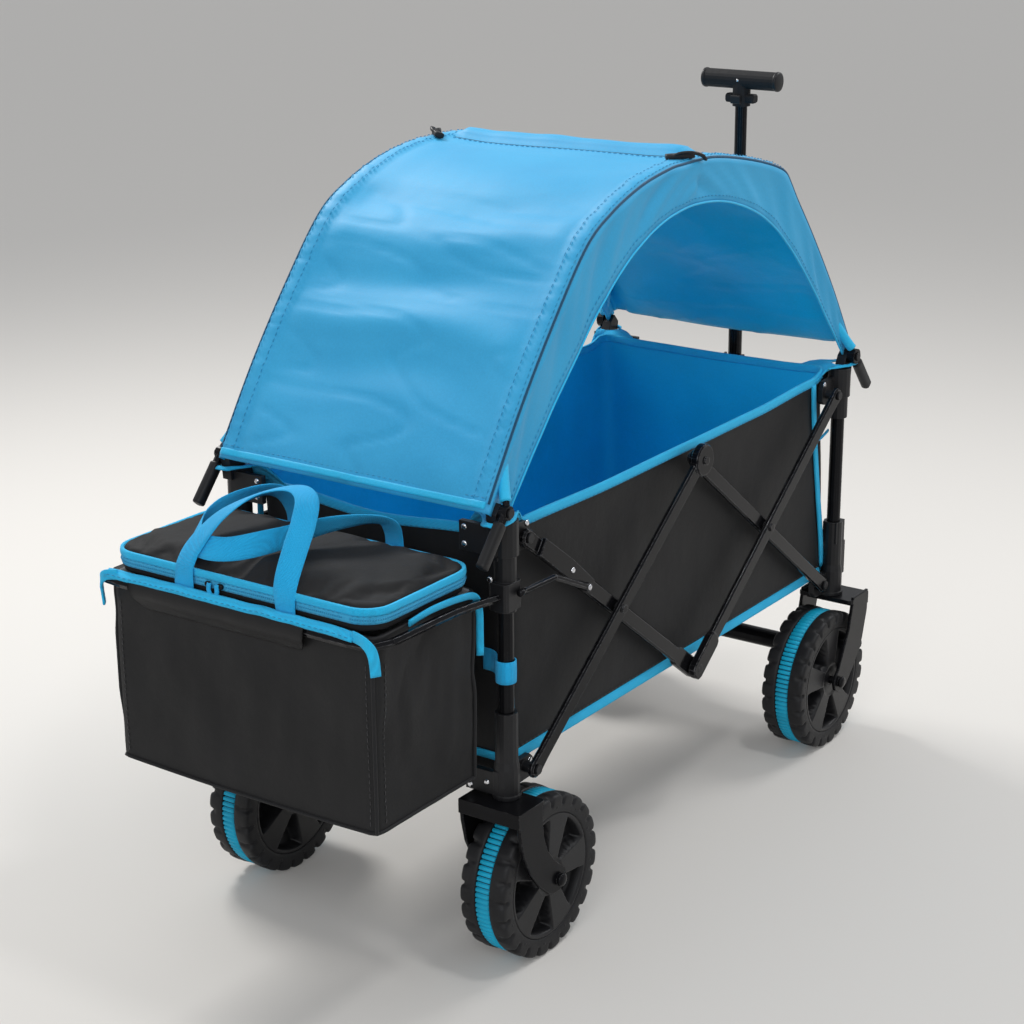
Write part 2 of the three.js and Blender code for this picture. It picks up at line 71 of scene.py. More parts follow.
# ---------------------------------------------------------------- materials
class Shader:
    """A principled surface with a few helpers, so that each material reads as a short list of layers."""

    def __init__(self, name):
        self.m = bpy.data.materials.new(name)
        self.m.use_nodes = True
        self.nodes, self.links = self.m.node_tree.nodes, self.m.node_tree.links
        self.nodes.clear()
        out = self.add("ShaderNodeOutputMaterial")
        self.p = self.add("ShaderNodeBsdfPrincipled")
        self.links.new(self.p.outputs[0], out.inputs[0])
        self.coord = self.add("ShaderNodeTexCoord").outputs["Object"]
        self.bump_out = None

    def add(self, kind, **values):
        n = self.nodes.new(kind)
        for k, v in values.items():
            setattr(n, k, v)
        return n

    def set(self, **values):
        for k, v in values.items():
            self.p.inputs[k.replace("_", " ")].default_value = v

    def feed(self, node, index, value):
        """Links a socket into a node's input, or sets the input to a number or colour."""
        if isinstance(value, (int, float)):
            node.inputs[index].default_value = value
        elif isinstance(value, tuple):
            node.inputs[index].default_value = (*value, 1)
        else:
            self.links.new(value, node.inputs[index])

    def math(self, op, a, b):
        n = self.add("ShaderNodeMath", operation=op)
        self.feed(n, 0, a)
        self.feed(n, 1, b)
        return n.outputs[0]

    def sine(self, value):
        n = self.add("ShaderNodeMath", operation="SINE")
        self.feed(n, 0, value)
        return n.outputs[0]

    def noise(self, scale, detail=3.0, stretch=(1, 1, 1)):
        mapping = self.add("ShaderNodeMapping")
        mapping.inputs["Scale"].default_value = stretch
        self.links.new(self.coord, mapping.inputs["Vector"])
        n = self.add("ShaderNodeTexNoise")
        n.inputs["Scale"].default_value = scale
        n.inputs["Detail"].default_value = detail
        self.links.new(mapping.outputs[0], n.inputs["Vector"])
        return n.outputs["Fac"]

    def ramp(self, fac, *stops):
        n = self.add("ShaderNodeValToRGB")
        for element, (at, color) in zip(n.color_ramp.elements, stops):
            element.position = at
            element.color = (*color, 1)
        self.links.new(fac, n.inputs[0])
        return n.outputs[0]

    def mix(self, fac, a, b):
        n = self.add("ShaderNodeMix", data_type="RGBA")
        for index, value in ((0, fac), (6, a), (7, b)):
            self.feed(n, index, value)
        return n.outputs[2]

    def color(self, socket):
        self.links.new(socket, self.p.inputs["Base Color"])

    def rough(self, fac, low, high):
        n = self.add("ShaderNodeMapRange")
        n.inputs["To Min"].default_value = low
        n.inputs["To Max"].default_value = high
        self.links.new(fac, n.inputs["Value"])
        self.links.new(n.outputs[0], self.p.inputs["Roughness"])

    def bump(self, height, strength, distance):
        n = self.add("ShaderNodeBump")
        n.inputs["Strength"].default_value = strength
        n.inputs["Distance"].default_value = distance
        self.links.new(height, n.inputs["Height"])
        if self.bump_out is not None:
            self.links.new(self.bump_out, n.inputs["Normal"])
        self.bump_out = n.outputs[0]
        self.links.new(n.outputs[0], self.p.inputs["Normal"])

    def threads(self, pitch):
        """A woven height from three crossing sets of threads, which shows on a surface facing any way."""
        split = self.add("ShaderNodeSeparateXYZ")
        self.links.new(self.coord, split.inputs[0])
        k = 2 * math.pi / pitch
        x, y, z = [self.sine(self.math("MULTIPLY", split.outputs[i], k)) for i in range(3)]
        total = self.math("ADD", self.math("MULTIPLY", x, y), self.math("MULTIPLY", y, z))
        return self.math("ADD", total, self.math("MULTIPLY", z, x))

    def edge_mask(self, radius):
        """How sharply the surface turns nearby, from 0 on a face to 1 on an edge."""
        bevel = self.add("ShaderNodeBevel", samples=4)
        bevel.inputs["Radius"].default_value = radius
        geometry = self.add("ShaderNodeNewGeometry")
        dot = self.add("ShaderNodeVectorMath", operation="DOT_PRODUCT")
        self.links.new(bevel.outputs[0], dot.inputs[0])
        self.links.new(geometry.outputs["Normal"], dot.inputs[1])
        self.bump_out = bevel.outputs[0]
        self.links.new(bevel.outputs[0], self.p.inputs["Normal"])
        n = self.add("ShaderNodeMapRange")
        n.inputs["From Max"].default_value = 0.12
        self.links.new(self.math("SUBTRACT", 1.0, dot.outputs["Value"]), n.inputs["Value"])
        return n.outputs[0]


def brighter(color, k):
    return tuple(min(1, c * k) for c in color)


def fabric(name, dark, light, pitch=0.0022, weave=0.35, rough=(0.72, 0.9), sheen=0.25, creases=0.25,
           dust=0.0):
    s = Shader(name)
    broad = s.noise(7.0, 4)
    fine = s.noise(420.0, 2)
    col = s.ramp(broad, (0.3, dark), (0.7, light))
    col = s.mix(0.35, col, s.ramp(fine, (0.35, brighter(light, 0.86)), (0.75, brighter(light, 1.12))))
    if dust:
        col = s.mix(s.math("MULTIPLY", s.noise(23.0, 6), dust), col, (0.35, 0.33, 0.3))
    s.color(col)
    s.rough(fine, *rough)
    s.set(Sheen_Weight=sheen, Sheen_Roughness=0.45, Specular_IOR_Level=0.34 if sheen else 0.2)
    s.bump(s.noise(26.0, 4), creases, 0.004)
    s.bump(s.threads(pitch), weave, 0.0003)
    return s.m


def webbing(name, dark, light):
    s = Shader(name)
    broad = s.ramp(s.noise(30.0, 3), (0.3, dark), (0.72, light))
    s.color(s.mix(0.6, broad, s.ramp(s.noise(600.0, 2), (0.3, dark), (0.7, light))))
    s.rough(s.noise(300.0), 0.62, 0.82)
    s.set(Sheen_Weight=0.08, Specular_IOR_Level=0.3)
    s.bump(s.threads(0.0019), 0.7, 0.0005)
    return s.m


def coated_metal(name, base, rough, edge_lightening=(0.16, 0.16, 0.165), edge=0.0012, edge_mark_from=0.46):
    s = Shader(name)
    edge_fac = s.edge_mask(edge)
    streak_noise = s.noise(90.0, 5, (1, 1, 6))
    base_col = s.ramp(s.noise(12.0, 4), (0.3, base), (0.75, tuple(c * 1.5 for c in base)))
    # Lighter colour along sharp edges: edge wear, and where the edge colour is light, as on the gloss
    # tubes, also a painted highlight along the edges.
    wear_and_highlight = s.math("MULTIPLY", edge_fac, s.ramp(streak_noise, (edge_mark_from, (0, 0, 0)), (edge_mark_from + 0.18, (1, 1, 1))))
    s.color(s.mix(s.math("MULTIPLY", wear_and_highlight, 0.55), base_col, edge_lightening))
    s.rough(s.noise(60.0, 5), *rough)
    s.set(Metallic=0.35, Specular_IOR_Level=0.1, Coat_Weight=0.09, Coat_Roughness=0.04)
    s.bump(s.noise(900.0, 2), 0.06, 0.0002)
    return s.m


def moulded(name, base, rough=(0.42, 0.6), grain=0.22, edge_lightening=0.35, light=1.6):
    s = Shader(name)
    edge_fac = s.edge_mask(0.0014)
    col = s.ramp(s.noise(16.0, 5), (0.28, base), (0.75, brighter(base, light)))
    scuff = s.math("MULTIPLY", edge_fac, s.noise(70.0, 5))
    s.color(s.mix(s.math("MULTIPLY", scuff, edge_lightening), col, tuple(min(1, 0.09 + c * 2.0) for c in base)))
    s.rough(s.noise(240.0, 4), *rough)
    s.set(Specular_IOR_Level=0.28)
    s.bump(s.noise(1500.0, 2), grain, 0.0003)
    return s.m


def polished(name):
    s = Shader(name)
    s.color(s.ramp(s.noise(70.0, 4), (0.3, (0.5, 0.5, 0.52)), (0.7, (0.78, 0.78, 0.8))))
    s.rough(s.noise(200.0, 4), 0.16, 0.32)
    s.set(Metallic=1.0)
    return s.m


BLUE_OUT = fabric("canopy_fabric", (0.020, 0.300, 0.575), (0.036, 0.37, 0.66), 0.0011, 0.07,
                  rough=(0.5, 0.64), sheen=0.05, creases=0.12)
# Inside faces of the canopy and the tub: the tub's blue lining colour, and on the canopy's inside the same
# cloth as outside. Both are made brighter than the outside copy as painted light, which offsets the shade
# inside the canopy and the tub.
BLUE_IN_PAINTED_LIGHT = fabric("lining_fabric_painted_light", (0.001, 0.37, 0.64), (0.008, 0.50, 0.86), 0.0011, 0.07,
                 rough=(0.44, 0.6), sheen=0.04, creases=0.55)
SLEEVE = fabric("sleeve_fabric", (0.010, 0.40, 0.70), (0.020, 0.48, 0.80),
                rough=(0.5, 0.64), sheen=0.12, creases=0.3)
BINDING = webbing("binding_tape", (0.010, 0.46, 0.82), (0.022, 0.56, 0.94))
WEBBING = webbing("strap_webbing", (0.006, 0.38, 0.76), (0.016, 0.48, 0.90))
ZIP = webbing("zip_tape", (0.03, 0.38, 0.66), (0.06, 0.47, 0.77))
BLACK_FABRIC = fabric("black_fabric", (0.008, 0.008, 0.0085), (0.0135, 0.0135, 0.0145), 0.0016, 0.16,
                      rough=(0.46, 0.62), sheen=0.0, creases=0.3, dust=0.008)
LID_FABRIC = fabric("lid_fabric", (0.010, 0.010, 0.0105), (0.0155, 0.0155, 0.0165), 0.0016, 0.22,
                    rough=(0.68, 0.84), sheen=0.0, creases=0.3, dust=0.008)
LINING = fabric("bag_lining", (0.30, 0.31, 0.32), (0.42, 0.43, 0.44), 0.004,
                rough=(0.3, 0.5), sheen=0.05, creases=0.6)
BLACK_PIPING = fabric("black_piping", (0.006, 0.006, 0.007), (0.013, 0.013, 0.014), 0.0022, 0.3,
                      sheen=0.05, creases=0.1)
THREAD = fabric("stitch_thread", (0.006, 0.22, 0.42), (0.012, 0.28, 0.52), 0.0009, creases=0.0)
DARK_PIPING = fabric("dark_blue_piping", (0.002, 0.05, 0.11), (0.004, 0.075, 0.16), 0.0012, creases=0.0)
BLACK_THREAD = fabric("black_thread", (0.03, 0.03, 0.032), (0.05, 0.05, 0.052), 0.0009, creases=0.0)
METAL = coated_metal("black_coated_steel", (0.005, 0.005, 0.006), (0.26, 0.4))
# The gloss tubes' light edge colour (0.30) is a painted highlight along the tube edges, laid over the edge
# wear.
GLOSS = coated_metal("gloss_black_tube", (0.005, 0.005, 0.006), (0.10, 0.2), (0.30, 0.30, 0.31), 0.0016,
                     0.36)
PLASTIC = moulded("black_moulded_plastic", (0.008, 0.008, 0.009), rough=(0.34, 0.5))
TREAD = moulded("tread_rubber", (0.008, 0.008, 0.009), grain=0.3, edge_lightening=0.15)
CORE = moulded("wheel_core_plastic", (0.009, 0.009, 0.010), rough=(0.32, 0.46), grain=0.12)
BAND = moulded("wheel_band_rubber", (0.004, 0.30, 0.47), rough=(0.45, 0.65), grain=0.3, edge_lightening=0.25,
               light=1.5)
STEEL = polished("rivet_steel")
SOFT_GRIP = moulded("grip_foam", (0.006, 0.006, 0.007), rough=(0.6, 0.78), grain=0.5, edge_lightening=0.1)


def look_of(node):
    if "bar" in node or node in ("bag_rack", "handle_outer_tube", "handle_inner_tube"):
        return GLOSS
    if "bracket_" in node or "hub_" in node or node in ("handle_trigger", "far_top_tube"):
        return PLASTIC
    return SOFT_GRIP if node == "handle_grip" else METAL


for node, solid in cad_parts.items():
    solid.data.materials.clear()
    solid.data.materials.append(look_of(node))


# ---------------------------------------------------------------- mesh helpers
def make(name, verts, faces, materials, slots=None):
    """A smooth-shaded mesh in the scene, with its faces turned outwards. slots gives each face its
    material."""
    me = bpy.data.meshes.new(name)
    me.from_pydata([tuple(v) for v in verts], [], faces)
    me.validate()
    bm = bmesh.new()
    bm.from_mesh(me)
    bmesh.ops.recalc_face_normals(bm, faces=bm.faces)
    bm.to_mesh(me)
    bm.free()
    o = bpy.data.objects.new(name, me)
    bpy.context.collection.objects.link(o)
    for m in materials if isinstance(materials, (list, tuple)) else [materials]:
        me.materials.append(m)
    if slots:
        for poly, k in zip(me.polygons, slots):
            poly.material_index = k
    for poly in me.polygons:
        poly.use_smooth = True
    return o


def apply_all(o):
    """Leaves o's evaluated shape as its mesh, with no modifiers."""
    deps = bpy.context.evaluated_depsgraph_get()
    me = bpy.data.meshes.new_from_object(o.evaluated_get(deps), depsgraph=deps)
    o.modifiers.clear()
    old = o.data
    o.data = me
    bpy.data.meshes.remove(old)
    return o


def soften(o, width, segments):
    """Rounds the edges."""
    b = o.modifiers.new("edge", "BEVEL")
    b.width = width
    b.segments = segments
    b.limit_method = "ANGLE"
    b.angle_limit = math.radians(35)
    return apply_all(o)


def thicken(o, t, offset, inner=0):
    """Gives a sheet a thickness: offset -1 inwards, 0 both ways. inner is the material of the added
    side."""
    m = o.modifiers.new("thick", "SOLIDIFY")
    m.thickness = t
    m.offset = offset
    m.material_offset = inner
    m.use_even_offset = False
    return apply_all(o)


def joined(name, objs):
    bpy.ops.object.select_all(action="DESELECT")
    for o in objs:
        o.select_set(True)
    bpy.context.view_layer.objects.active = objs[0]
    bpy.ops.object.join()
    objs[0].name = name
    objs[0].data.name = name
    return objs[0]


def attach(o, body):
    """Lets a piece ride a body."""
    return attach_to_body(o, body)


def flat(rows):
    return [v for row in rows for v in row]


def grid_faces(rows, cols, close_rows=False, close_cols=False):
    """Four-sided faces between neighbouring rows of points."""
    f = []
    for i in range(rows if close_rows else rows - 1):
        for j in range(cols if close_cols else cols - 1):
            a, b = i * cols + j, i * cols + (j + 1) % cols
            c, d = ((i + 1) % rows) * cols + (j + 1) % cols, ((i + 1) % rows) * cols + j
            f.append((a, b, c, d))
    return f


def tube_faces(rows, cols):
    """Faces of a closed skin: rows of points round it, and a flat face on each end."""
    faces = grid_faces(rows, cols, close_cols=True)
    faces.append(tuple(range(cols)))
    faces.append(tuple((rows - 1) * cols + k for k in reversed(range(cols))))
    return faces


def smooth_path(points, steps, closed=False):
    """Evenly spaced points along a Catmull-Rom curve through the given ones."""
    p = [Vector(q) for q in points]
    n = len(p)
    dense = []
    for i in range(n if closed else n - 1):
        p0 = p[(i - 1) % n] if closed or i else p[0] * 2 - p[1]
        p1, p2 = p[i], p[(i + 1) % n]
        p3 = p[(i + 2) % n] if closed or i + 2 < n else p[-1] * 2 - p[-2]
        for k in range(16):
            t = k / 16
            dense.append(0.5 * (2 * p1 + (p2 - p0) * t + (2 * p0 - 5 * p1 + 4 * p2 - p3) * t * t
                                + (3 * p1 - p0 - 3 * p2 + p3) * t ** 3))
    dense.append(p[0].copy() if closed else p[-1].copy())
    length = [0.0]
    for a, b in zip(dense, dense[1:]):
        length.append(length[-1] + (b - a).length)
    out, k = [], 0
    for i in range(steps + 1):
        want = length[-1] * i / steps
        while k < len(dense) - 2 and length[k + 1] < want:
            k += 1
        gap = length[k + 1] - length[k]
        out.append(dense[k].lerp(dense[k + 1], (want - length[k]) / gap if gap > 1e-12 else 0))
    return out[:-1] if closed else out


def tube(name, path, r, material, sides, closed=False):
    """A round tube along a path of points, with closed ends."""
    n = len(path)
    verts, faces = [], []
    normal = None
    for i, p in enumerate(path):
        a = path[i - 1] if i or closed else path[i]
        b = path[(i + 1) % n] if i + 1 < n or closed else path[i]
        t = (b - a).normalized()
        if normal is None:
            normal = t.orthogonal().normalized()
        normal = (normal - t * normal.dot(t)).normalized()
        side = t.cross(normal)
        rr = r(i / max(n - 1, 1)) if callable(r) else r
        for k in range(sides):
            w = 2 * math.pi * k / sides
            verts.append(p + (normal * math.cos(w) + side * math.sin(w)) * rr)
    faces = grid_faces(n, sides, True, True) if closed else tube_faces(n, sides)
    return make(name, verts, faces, material)


def ribbon(name, path, across, width, thickness, material, closed=False):
    """A flat strap along a path: across gives its width direction at each point, or one for all."""
    n = len(path)
    section = [(-0.5, -0.5), (-0.25, -0.62), (0, -0.66), (0.25, -0.62), (0.5, -0.5), (0.52, 0), (0.5, 0.5),
               (0.25, 0.62), (0, 0.66), (-0.25, 0.62), (-0.5, 0.5), (-0.52, 0)]
    verts = []
    for i, p in enumerate(path):
        a = path[i - 1] if i or closed else path[i]
        b = path[(i + 1) % n] if i + 1 < n or closed else path[i]
        t = (b - a).normalized()
        w = Vector(across[i] if isinstance(across, list) else across)
        w = (w - t * w.dot(t)).normalized()
        up = t.cross(w)
        for u, v in section:
            verts.append(p + w * (u * width) + up * (v * thickness))
    faces = grid_faces(n, len(section), True, True) if closed else tube_faces(n, len(section))
    return make(name, verts, faces, material)


def stitches(name, path, normal, material, length=0.0055, gap=0.0035, r=0.00055, lift=0.0004):
    """Short rounded dashes along a path, lying on a surface with the given normal at each point, or one
    for all."""
    verts, faces = [], []
    around = (0, math.pi / 3, 2 * math.pi / 3, math.pi, 1.5 * math.pi)
    lengths = [(b - a).length for a, b in zip(path, path[1:])]
    full = sum(lengths)

    def at(s):
        for i, l in enumerate(lengths):
            if s <= l or i == len(lengths) - 1:
                return path[i].lerp(path[i + 1], min(s / l, 1) if l > 0 else 0), i
            s -= l

    s = gap
    while s + length < full:
        rows = []
        for j in range(4):
            p, i = at(s + length * j / 3)
            nrm = Vector(normal[i] if isinstance(normal, list) else normal).normalized()
            t = (path[i + 1] - path[i]).normalized()
            w = t.cross(nrm).normalized()
            fat = r * (0.5 if j in (0, 3) else 1.0)
            p = p + nrm * lift * (0.2 if j in (0, 3) else 1)
            rows.append([p + w * fat * math.cos(q) + nrm * fat * math.sin(q) for q in around])
        faces += [tuple(len(verts) + k for k in face) for face in tube_faces(4, 5)]
        verts += flat(rows)
        s += length + gap
    return make(name, verts, faces, material)


def dome(at, axis, r, h, sides=14):
    """Vertices and faces of one rivet head standing on a surface."""
    axis = Vector(axis).normalized()
    u = axis.orthogonal().normalized()
    w = axis.cross(u)
    rings = [(1.0, -0.3), (1.0, 0.15), (0.9, 0.55), (0.66, 0.84), (0.34, 0.97)]
    verts = [Vector(at) + (u * math.cos(2 * math.pi * k / sides) + w * math.sin(2 * math.pi * k / sides))
             * (r * a) + axis * (h * b)
             for a, b in rings for k in range(sides)]
    faces = grid_faces(len(rings), sides, close_cols=True)
    verts.append(Vector(at) + axis * h)
    verts.append(Vector(at) - axis * (h * 0.3))
    top, bottom = len(verts) - 2, len(verts) - 1
    last = (len(rings) - 1) * sides
    faces += [(last + k, last + (k + 1) % sides, top) for k in range(sides)]
    faces += [((k + 1) % sides, k, bottom) for k in range(sides)]
    return verts, faces


def domes(name, places, material, r, h):
    verts, faces = [], []
    for at, axis in places:
        v, f = dome(at, axis, r, h)
        faces += [tuple(len(verts) + i for i in q) for q in f]
        verts += v
    return make(name, verts, faces, material)


def rivets(name, places, body, material, r=0.0042, h=0.0022):
    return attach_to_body(domes(name, places, material, r, h), body)


def smoothstep(a, b, x):
    t = min(max((x - a) / (b - a), 0), 1)
    return t * t * (3 - 2 * t)


def lerp_table(table, x):
    """A smooth value from (place, value) pairs."""
    if x <= table[0][0]:
        return table[0][1]
    for (x0, y0), (x1, y1) in zip(table, table[1:]):
        if x <= x1:
            t = (x - x0) / (x1 - x0)
            return y0 + (y1 - y0) * t * t * (3 - 2 * t)
    return table[-1][1]


# ---------------------------------------------------------------- wheels
def tyre_mesh():
    """Both broad shoulders and the channel between them, about the X axis: soft lobes round the edge,
    sparse cut-outs."""
    half = [(10.8, 97.5), (10.8, 106.0), (11.6, 108.4), (14, 109.4), (19, 109.9), (24, 110), (28.5, 109.9),
            (31.6, 109.3), (33.4, 108.0),
            (34.3, 105.6), (34.3, 101), (34.0, 97), (33.7, 93), (33.3, 89), (32.9, 85.6), (31.6, 84.7)]
    profile = [(-x, r) for x, r in reversed(half)] + half
    count, per = 24, 14
    verts = []
    for i in range(count * per):
        a = 2 * math.pi * i / (count * per)
        lobe, phase = divmod(i / per, 1.0)
        for x, r in profile:
            ph = (phase + (0.5 if x < 0 else 0.0)) % 1.0
            edge = smoothstep(19, 30, abs(x)) * smoothstep(92, 104, r)
            scallop = (0.5 - 0.5 * math.cos(2 * math.pi * ph)) ** 3.0
            notch = (smoothstep(0.36, 0.42, ph) * (1 - smoothstep(0.58, 0.64, ph))
                     * smoothstep(24, 27, abs(x)) * smoothstep(97, 101, r))
            cut = smoothstep(0.30, 0.36, ph) * (1 - smoothstep(0.64, 0.70, ph)) if lobe % 2 == 0 else 0.0
            cut *= smoothstep(14.5, 16, abs(x)) * (1 - smoothstep(22, 23.5, abs(x)))
            rr = r - (2.9 * scallop * edge) - 1.6 * notch - 2.2 * cut * smoothstep(100, 106, r)
            xx = (x - math.copysign(1.9 * notch
                                    + 0.6 * scallop * smoothstep(94, 103, r) * smoothstep(30, 32,
                abs(x)), x))
            verts.append(Vector((xx, rr * math.sin(a), -rr * math.cos(a))) / 1000)
    return verts, grid_faces(count * per, len(profile), close_rows=True, close_cols=True)


def band_mesh():
    """The ribbed centre band: narrow slots across, right through to its dark backing."""
    ribs, per = 92, 8
    profile = [(-10.2, 98.2), (-10.3, 107.4), (-9.7, 108.4), (0, 108.7), (9.7, 108.4), (10.3, 107.4),
               (10.2, 98.2)]
    cols = len(profile)
    verts = []
    for i in range(ribs * per):
        step = i % per
        a = 2 * math.pi * (i + {1: 0.42, 3: -0.42}.get(step, 0)) / (ribs * per)
        for x, r in profile:
            deep = r - (3.4 if step in (1, 2, 3) and r > 107 else 0.0)
            verts.append(Vector((x, deep * math.sin(a), -deep * math.cos(a))) / 1000)
    faces = grid_faces(ribs * per, cols, close_rows=True, close_cols=True)
    slots = [int((k // cols) % per in (1, 2) and 1 <= k % cols <= 4) for k in range(len(faces))]
    return verts, faces, slots


def core_mesh():
    """The moulded core: a flat face each side, level with the tyre, with five deep openings between broad
    spokes."""
    around = 320
    radii = [6.2, 9, 13, 16, 18, 20, 22, 24.5, 27, 28.5, 30, 32, 34, 37, 41, 45, 49, 53, 57, 61, 65, 68,
             70.5, 72.5, 74, 75.5, 77, 78.5, 80.5, 82.5, 84.2]

    def face(r, a):
        turn = (a / (2 * math.pi) * 5) % 1.0
        off = (turn - 0.5) * 2 * math.pi / 5
        across, reach = abs(r * math.sin(off)), r * math.cos(off)
        wide = 5.5 + (reach - 28) * 0.47
        inside = (smoothstep(-0.4, 1.4, wide - across) * smoothstep(27.0, 30.0, reach)
                  * (1 - smoothstep(75.5, 79.5, r)))
        floor = 5 + 9 * smoothstep(28, 76, reach)
        x = 32.5 - 1.6 * (1 - smoothstep(24, 27, r)) + 0.4 * (1 - smoothstep(18, 20, r))
        return x * (1 - inside) + floor * inside

    verts = []
    for side in (1, -1):
        for i in range(around):
            a = 2 * math.pi * i / around
            for r in radii:
                b = a * side
                verts.append(Vector((side * face(r, a), r * math.sin(b), -r * math.cos(b))) / 1000)
    n = len(radii)
    f = grid_faces(around, n, close_rows=True)
    faces = f + [tuple(around * n + k for k in q) for q in f]
    for i in range(around):
        j = (i + 1) % around
        mi, mj = (around - i) % around, (around - j) % around
        faces.append((i * n, j * n, around * n + mj * n, around * n + mi * n))
        faces.append((i * n + n - 1, j * n + n - 1, around * n + mj * n + n - 1, around * n + mi * n + n
                      - 1))
    return verts, faces


STUD_X, STUD_R, STUDS = 0.0328, 0.0935, 12


def studs(centre, turn, s):
    """Small moulded dots round both of a tyre's faces."""
    for q in (1, -1):
        for k in range(STUDS):
            w = 2 * math.pi * (k + (0 if q > 0 else 0.5)) / STUDS
            at = centre + turn @ Vector((q * STUD_X, STUD_R * math.sin(w), -STUD_R * math.cos(w)))
            yield at, Vector((q * s, 0, 0))


for part, (verts, faces, *slots), material, slot in (
    ("tyre", tyre_mesh(), TREAD, "tread"),
    ("wheel_band", band_mesh(), [BAND, TREAD], "band"),
    ("wheel_core", core_mesh(), CORE, "black_plastic"),
):
    for end, start in (("near", 0.36), ("far", 1.9)):
        for side, s in SIDES:
            low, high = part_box(f"{end}_wheel_band_{side}")
            centre = (low + high) / 2
            turn = Matrix.Rotation(start, 4, "X")
            if s < 0:
                turn = turn @ Matrix.Rotation(math.pi, 4, "Z")
            placed = [centre + turn @ v for v in verts]
            o = make(f"{end}_{part}_shell_{side}", placed, faces, material, *slots)
            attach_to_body(o, f"{end}_wheel_{side}")
            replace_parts(o, f"{end}_{part}_{side}")
            if part == "tyre":
                dots = studs(centre, turn, s)
                rivets(f"{end}_tyre_studs_{side}", dots, f"{end}_wheel_{side}", PLASTIC, 0.0024, 0.0014)


# ---------------------------------------------------------------- canopy
def wave(x, y, z, scale, size):
    """A smooth random height, the same on every run."""
    return noise.noise(Vector((x, y, z)) * scale) * size


def route(points, steps, s=1):
    """A smooth path through (x, y, z) points in millimetres, mirrored to the left side if s is -1."""
    return smooth_path([P(s * x, y, z) for x, y, z in points], steps)


HALF = [(35, 984.6), (70, 983), (140, 971), (210, 947), (270, 912), (345, 828), (415, 738), (474, 650)]
FAR_HALF = [(35, 984.6), (80, 979), (130, 970), (180, 959), (225, 946.5), (252, 934.5), (270, 915),
            (290, 890), (345, 826), (415, 736.5), (474, 650)]
ARCH = [(-490, 624)] + [(-d, z) for d, z in reversed(HALF)] + [(0, 985)] + FAR_HALF + [(482, 638)]
VALANCE = [(-490, 46), (-415, 61), (-345, 76), (-270, 81), (-140, 62), (0, 46), (100, 50), (170, 68),
           (230, 68), (300, 55), (380, 43), (440, 34), (482, 26)]
SIDE = 217.5
outline = smooth_path([Vector((0, y / 1000, z / 1000)) for y, z in ARCH], 210)
arch = [(v.y * 1000, v.z * 1000) for v in outline]
arch_in = []
for i, p in enumerate(arch):
    a, b = arch[max(i - 1, 0)], arch[min(i + 1, len(arch) - 1)]
    d = math.hypot(b[0] - a[0], b[1] - a[1])
    arch_in.append(((b[1] - a[1]) / d, -(b[0] - a[0]) / d))
flap_edge = []
for (y, z), (ny, nz) in zip(arch, arch_in):
    deep = lerp_table(VALANCE, y)
    flap_edge.append((y + ny * deep, z + nz * deep))
for _ in range(260):
    between = [((a[0] + c[0]) / 2, (a[1] + c[1]) / 2) for a, c in zip(flap_edge, flap_edge[2:])]
    flap_edge = [flap_edge[0]] + between + [flap_edge[-1]]


def canopy_point(i, u, lift=0.0):
    """The sheet at arch step i: u runs 0..1 down the right side flap, 1..2 across the top, 2..3 down the
    left flap's far edge."""
    (y, z), (ny, nz) = arch[i], arch_in[i]
    if 1 <= u <= 2:
        x = SIDE * (3 - 2 * u)
        edge = SIDE - abs(x)
        drop = 3.2 * (1 - smoothstep(0, 7, edge))
        sag = 3.5 * smoothstep(10, 90, edge) * math.sin(math.pi * i / (len(arch) - 1)) ** 0.5
        pinch = 1 if edge < 30 else 1 - smoothstep(30, 44, edge)
        slope = smoothstep(150, 280, abs(y))
        folds = math.sin(i * 0.236 + 1.2 * wave(x / 260, i * 0.021, 2.0, 1.0, 2.2) + x / 900)
        folds = math.copysign(abs(folds) ** 1.3, folds) * (5.2 + wave(x / 160, i * 0.036, 6.0, 1.0, 4.5))
        creases = -3.2 * max(0.0, 1 - abs(wave(x / 190, i * 0.107 + x / 500, 9.0, 1.0, 5.5))) ** 3
        ripple = wave(x / 420, i * 0.043, 0.3, 1.6, 4.2)
        ripple += folds * (0.35 + 0.65 * slope) + creases * 0.7 * slope
        ripple *= smoothstep(16, 60, edge)
        ripple = min(ripple, 8)
        band = smoothstep(3, 6, edge) * (1 - smoothstep(24, 28, edge))
        sleeve = (2.6 + wave(x / 30, i * 0.8, 4.0, 1.0, 2.6)) * band
        rolled = 0
        if abs(y - 28) < 20:
            bulge = (1 - ((y - 28) / 20) ** 2) ** 0.5 * smoothstep(24, 36, edge)
            rolled = (11 + wave(x / 60, 5.0, 5.0, 1.0, 2.0)) * bulge
        seam = -2.4 * (1 - smoothstep(1, 5, abs(y - 5))) * smoothstep(14, 30, edge)
        d = drop + sag - ripple - sleeve * pinch - rolled - seam - lift
        return P(x, y + ny * d, z + nz * d)
    t = (1 - u) if u < 1 else (u - 2)
    side = 1 if u < 1 else -1
    ey, ez = flap_edge[i]
    ay, az = y + ny * 3.2, z + nz * 3.2
    slant = i * 0.12 + t * 2.6 * (1 if y < 0 else -1)
    fold = wave(slant, t * 0.4, side * 2, 1.0, 8.5) * math.sin(math.pi * min(t * 0.9 + 0.05, 1))
    fold += wave(slant * 2.3, 0.3, side, 1.0, 2.0) * t * (1 - t) * 3
    belly = 5.0 * t + 3.0 * math.sin(math.pi * t) + fold
    scallop = wave(i * 0.05, 0.0, side * 3, 1.0, 1.2) * t
    return P(side * (SIDE - belly * 0.7 + lift), ay + (ey - ay) * t + ny * scallop, az + (ez - az) * t
             + nz * scallop)


US = [k / 9 for k in range(9)] + [1 + (k / 56) for k in range(57)] + [2 + (k + 1) / 9 for k in range(9)]
US = sorted(set(US + [1.004, 1.011, 1.989, 1.996]))


def canopy_piece(o, *nodes):
    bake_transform(o)
    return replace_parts(o, *nodes) if nodes else o
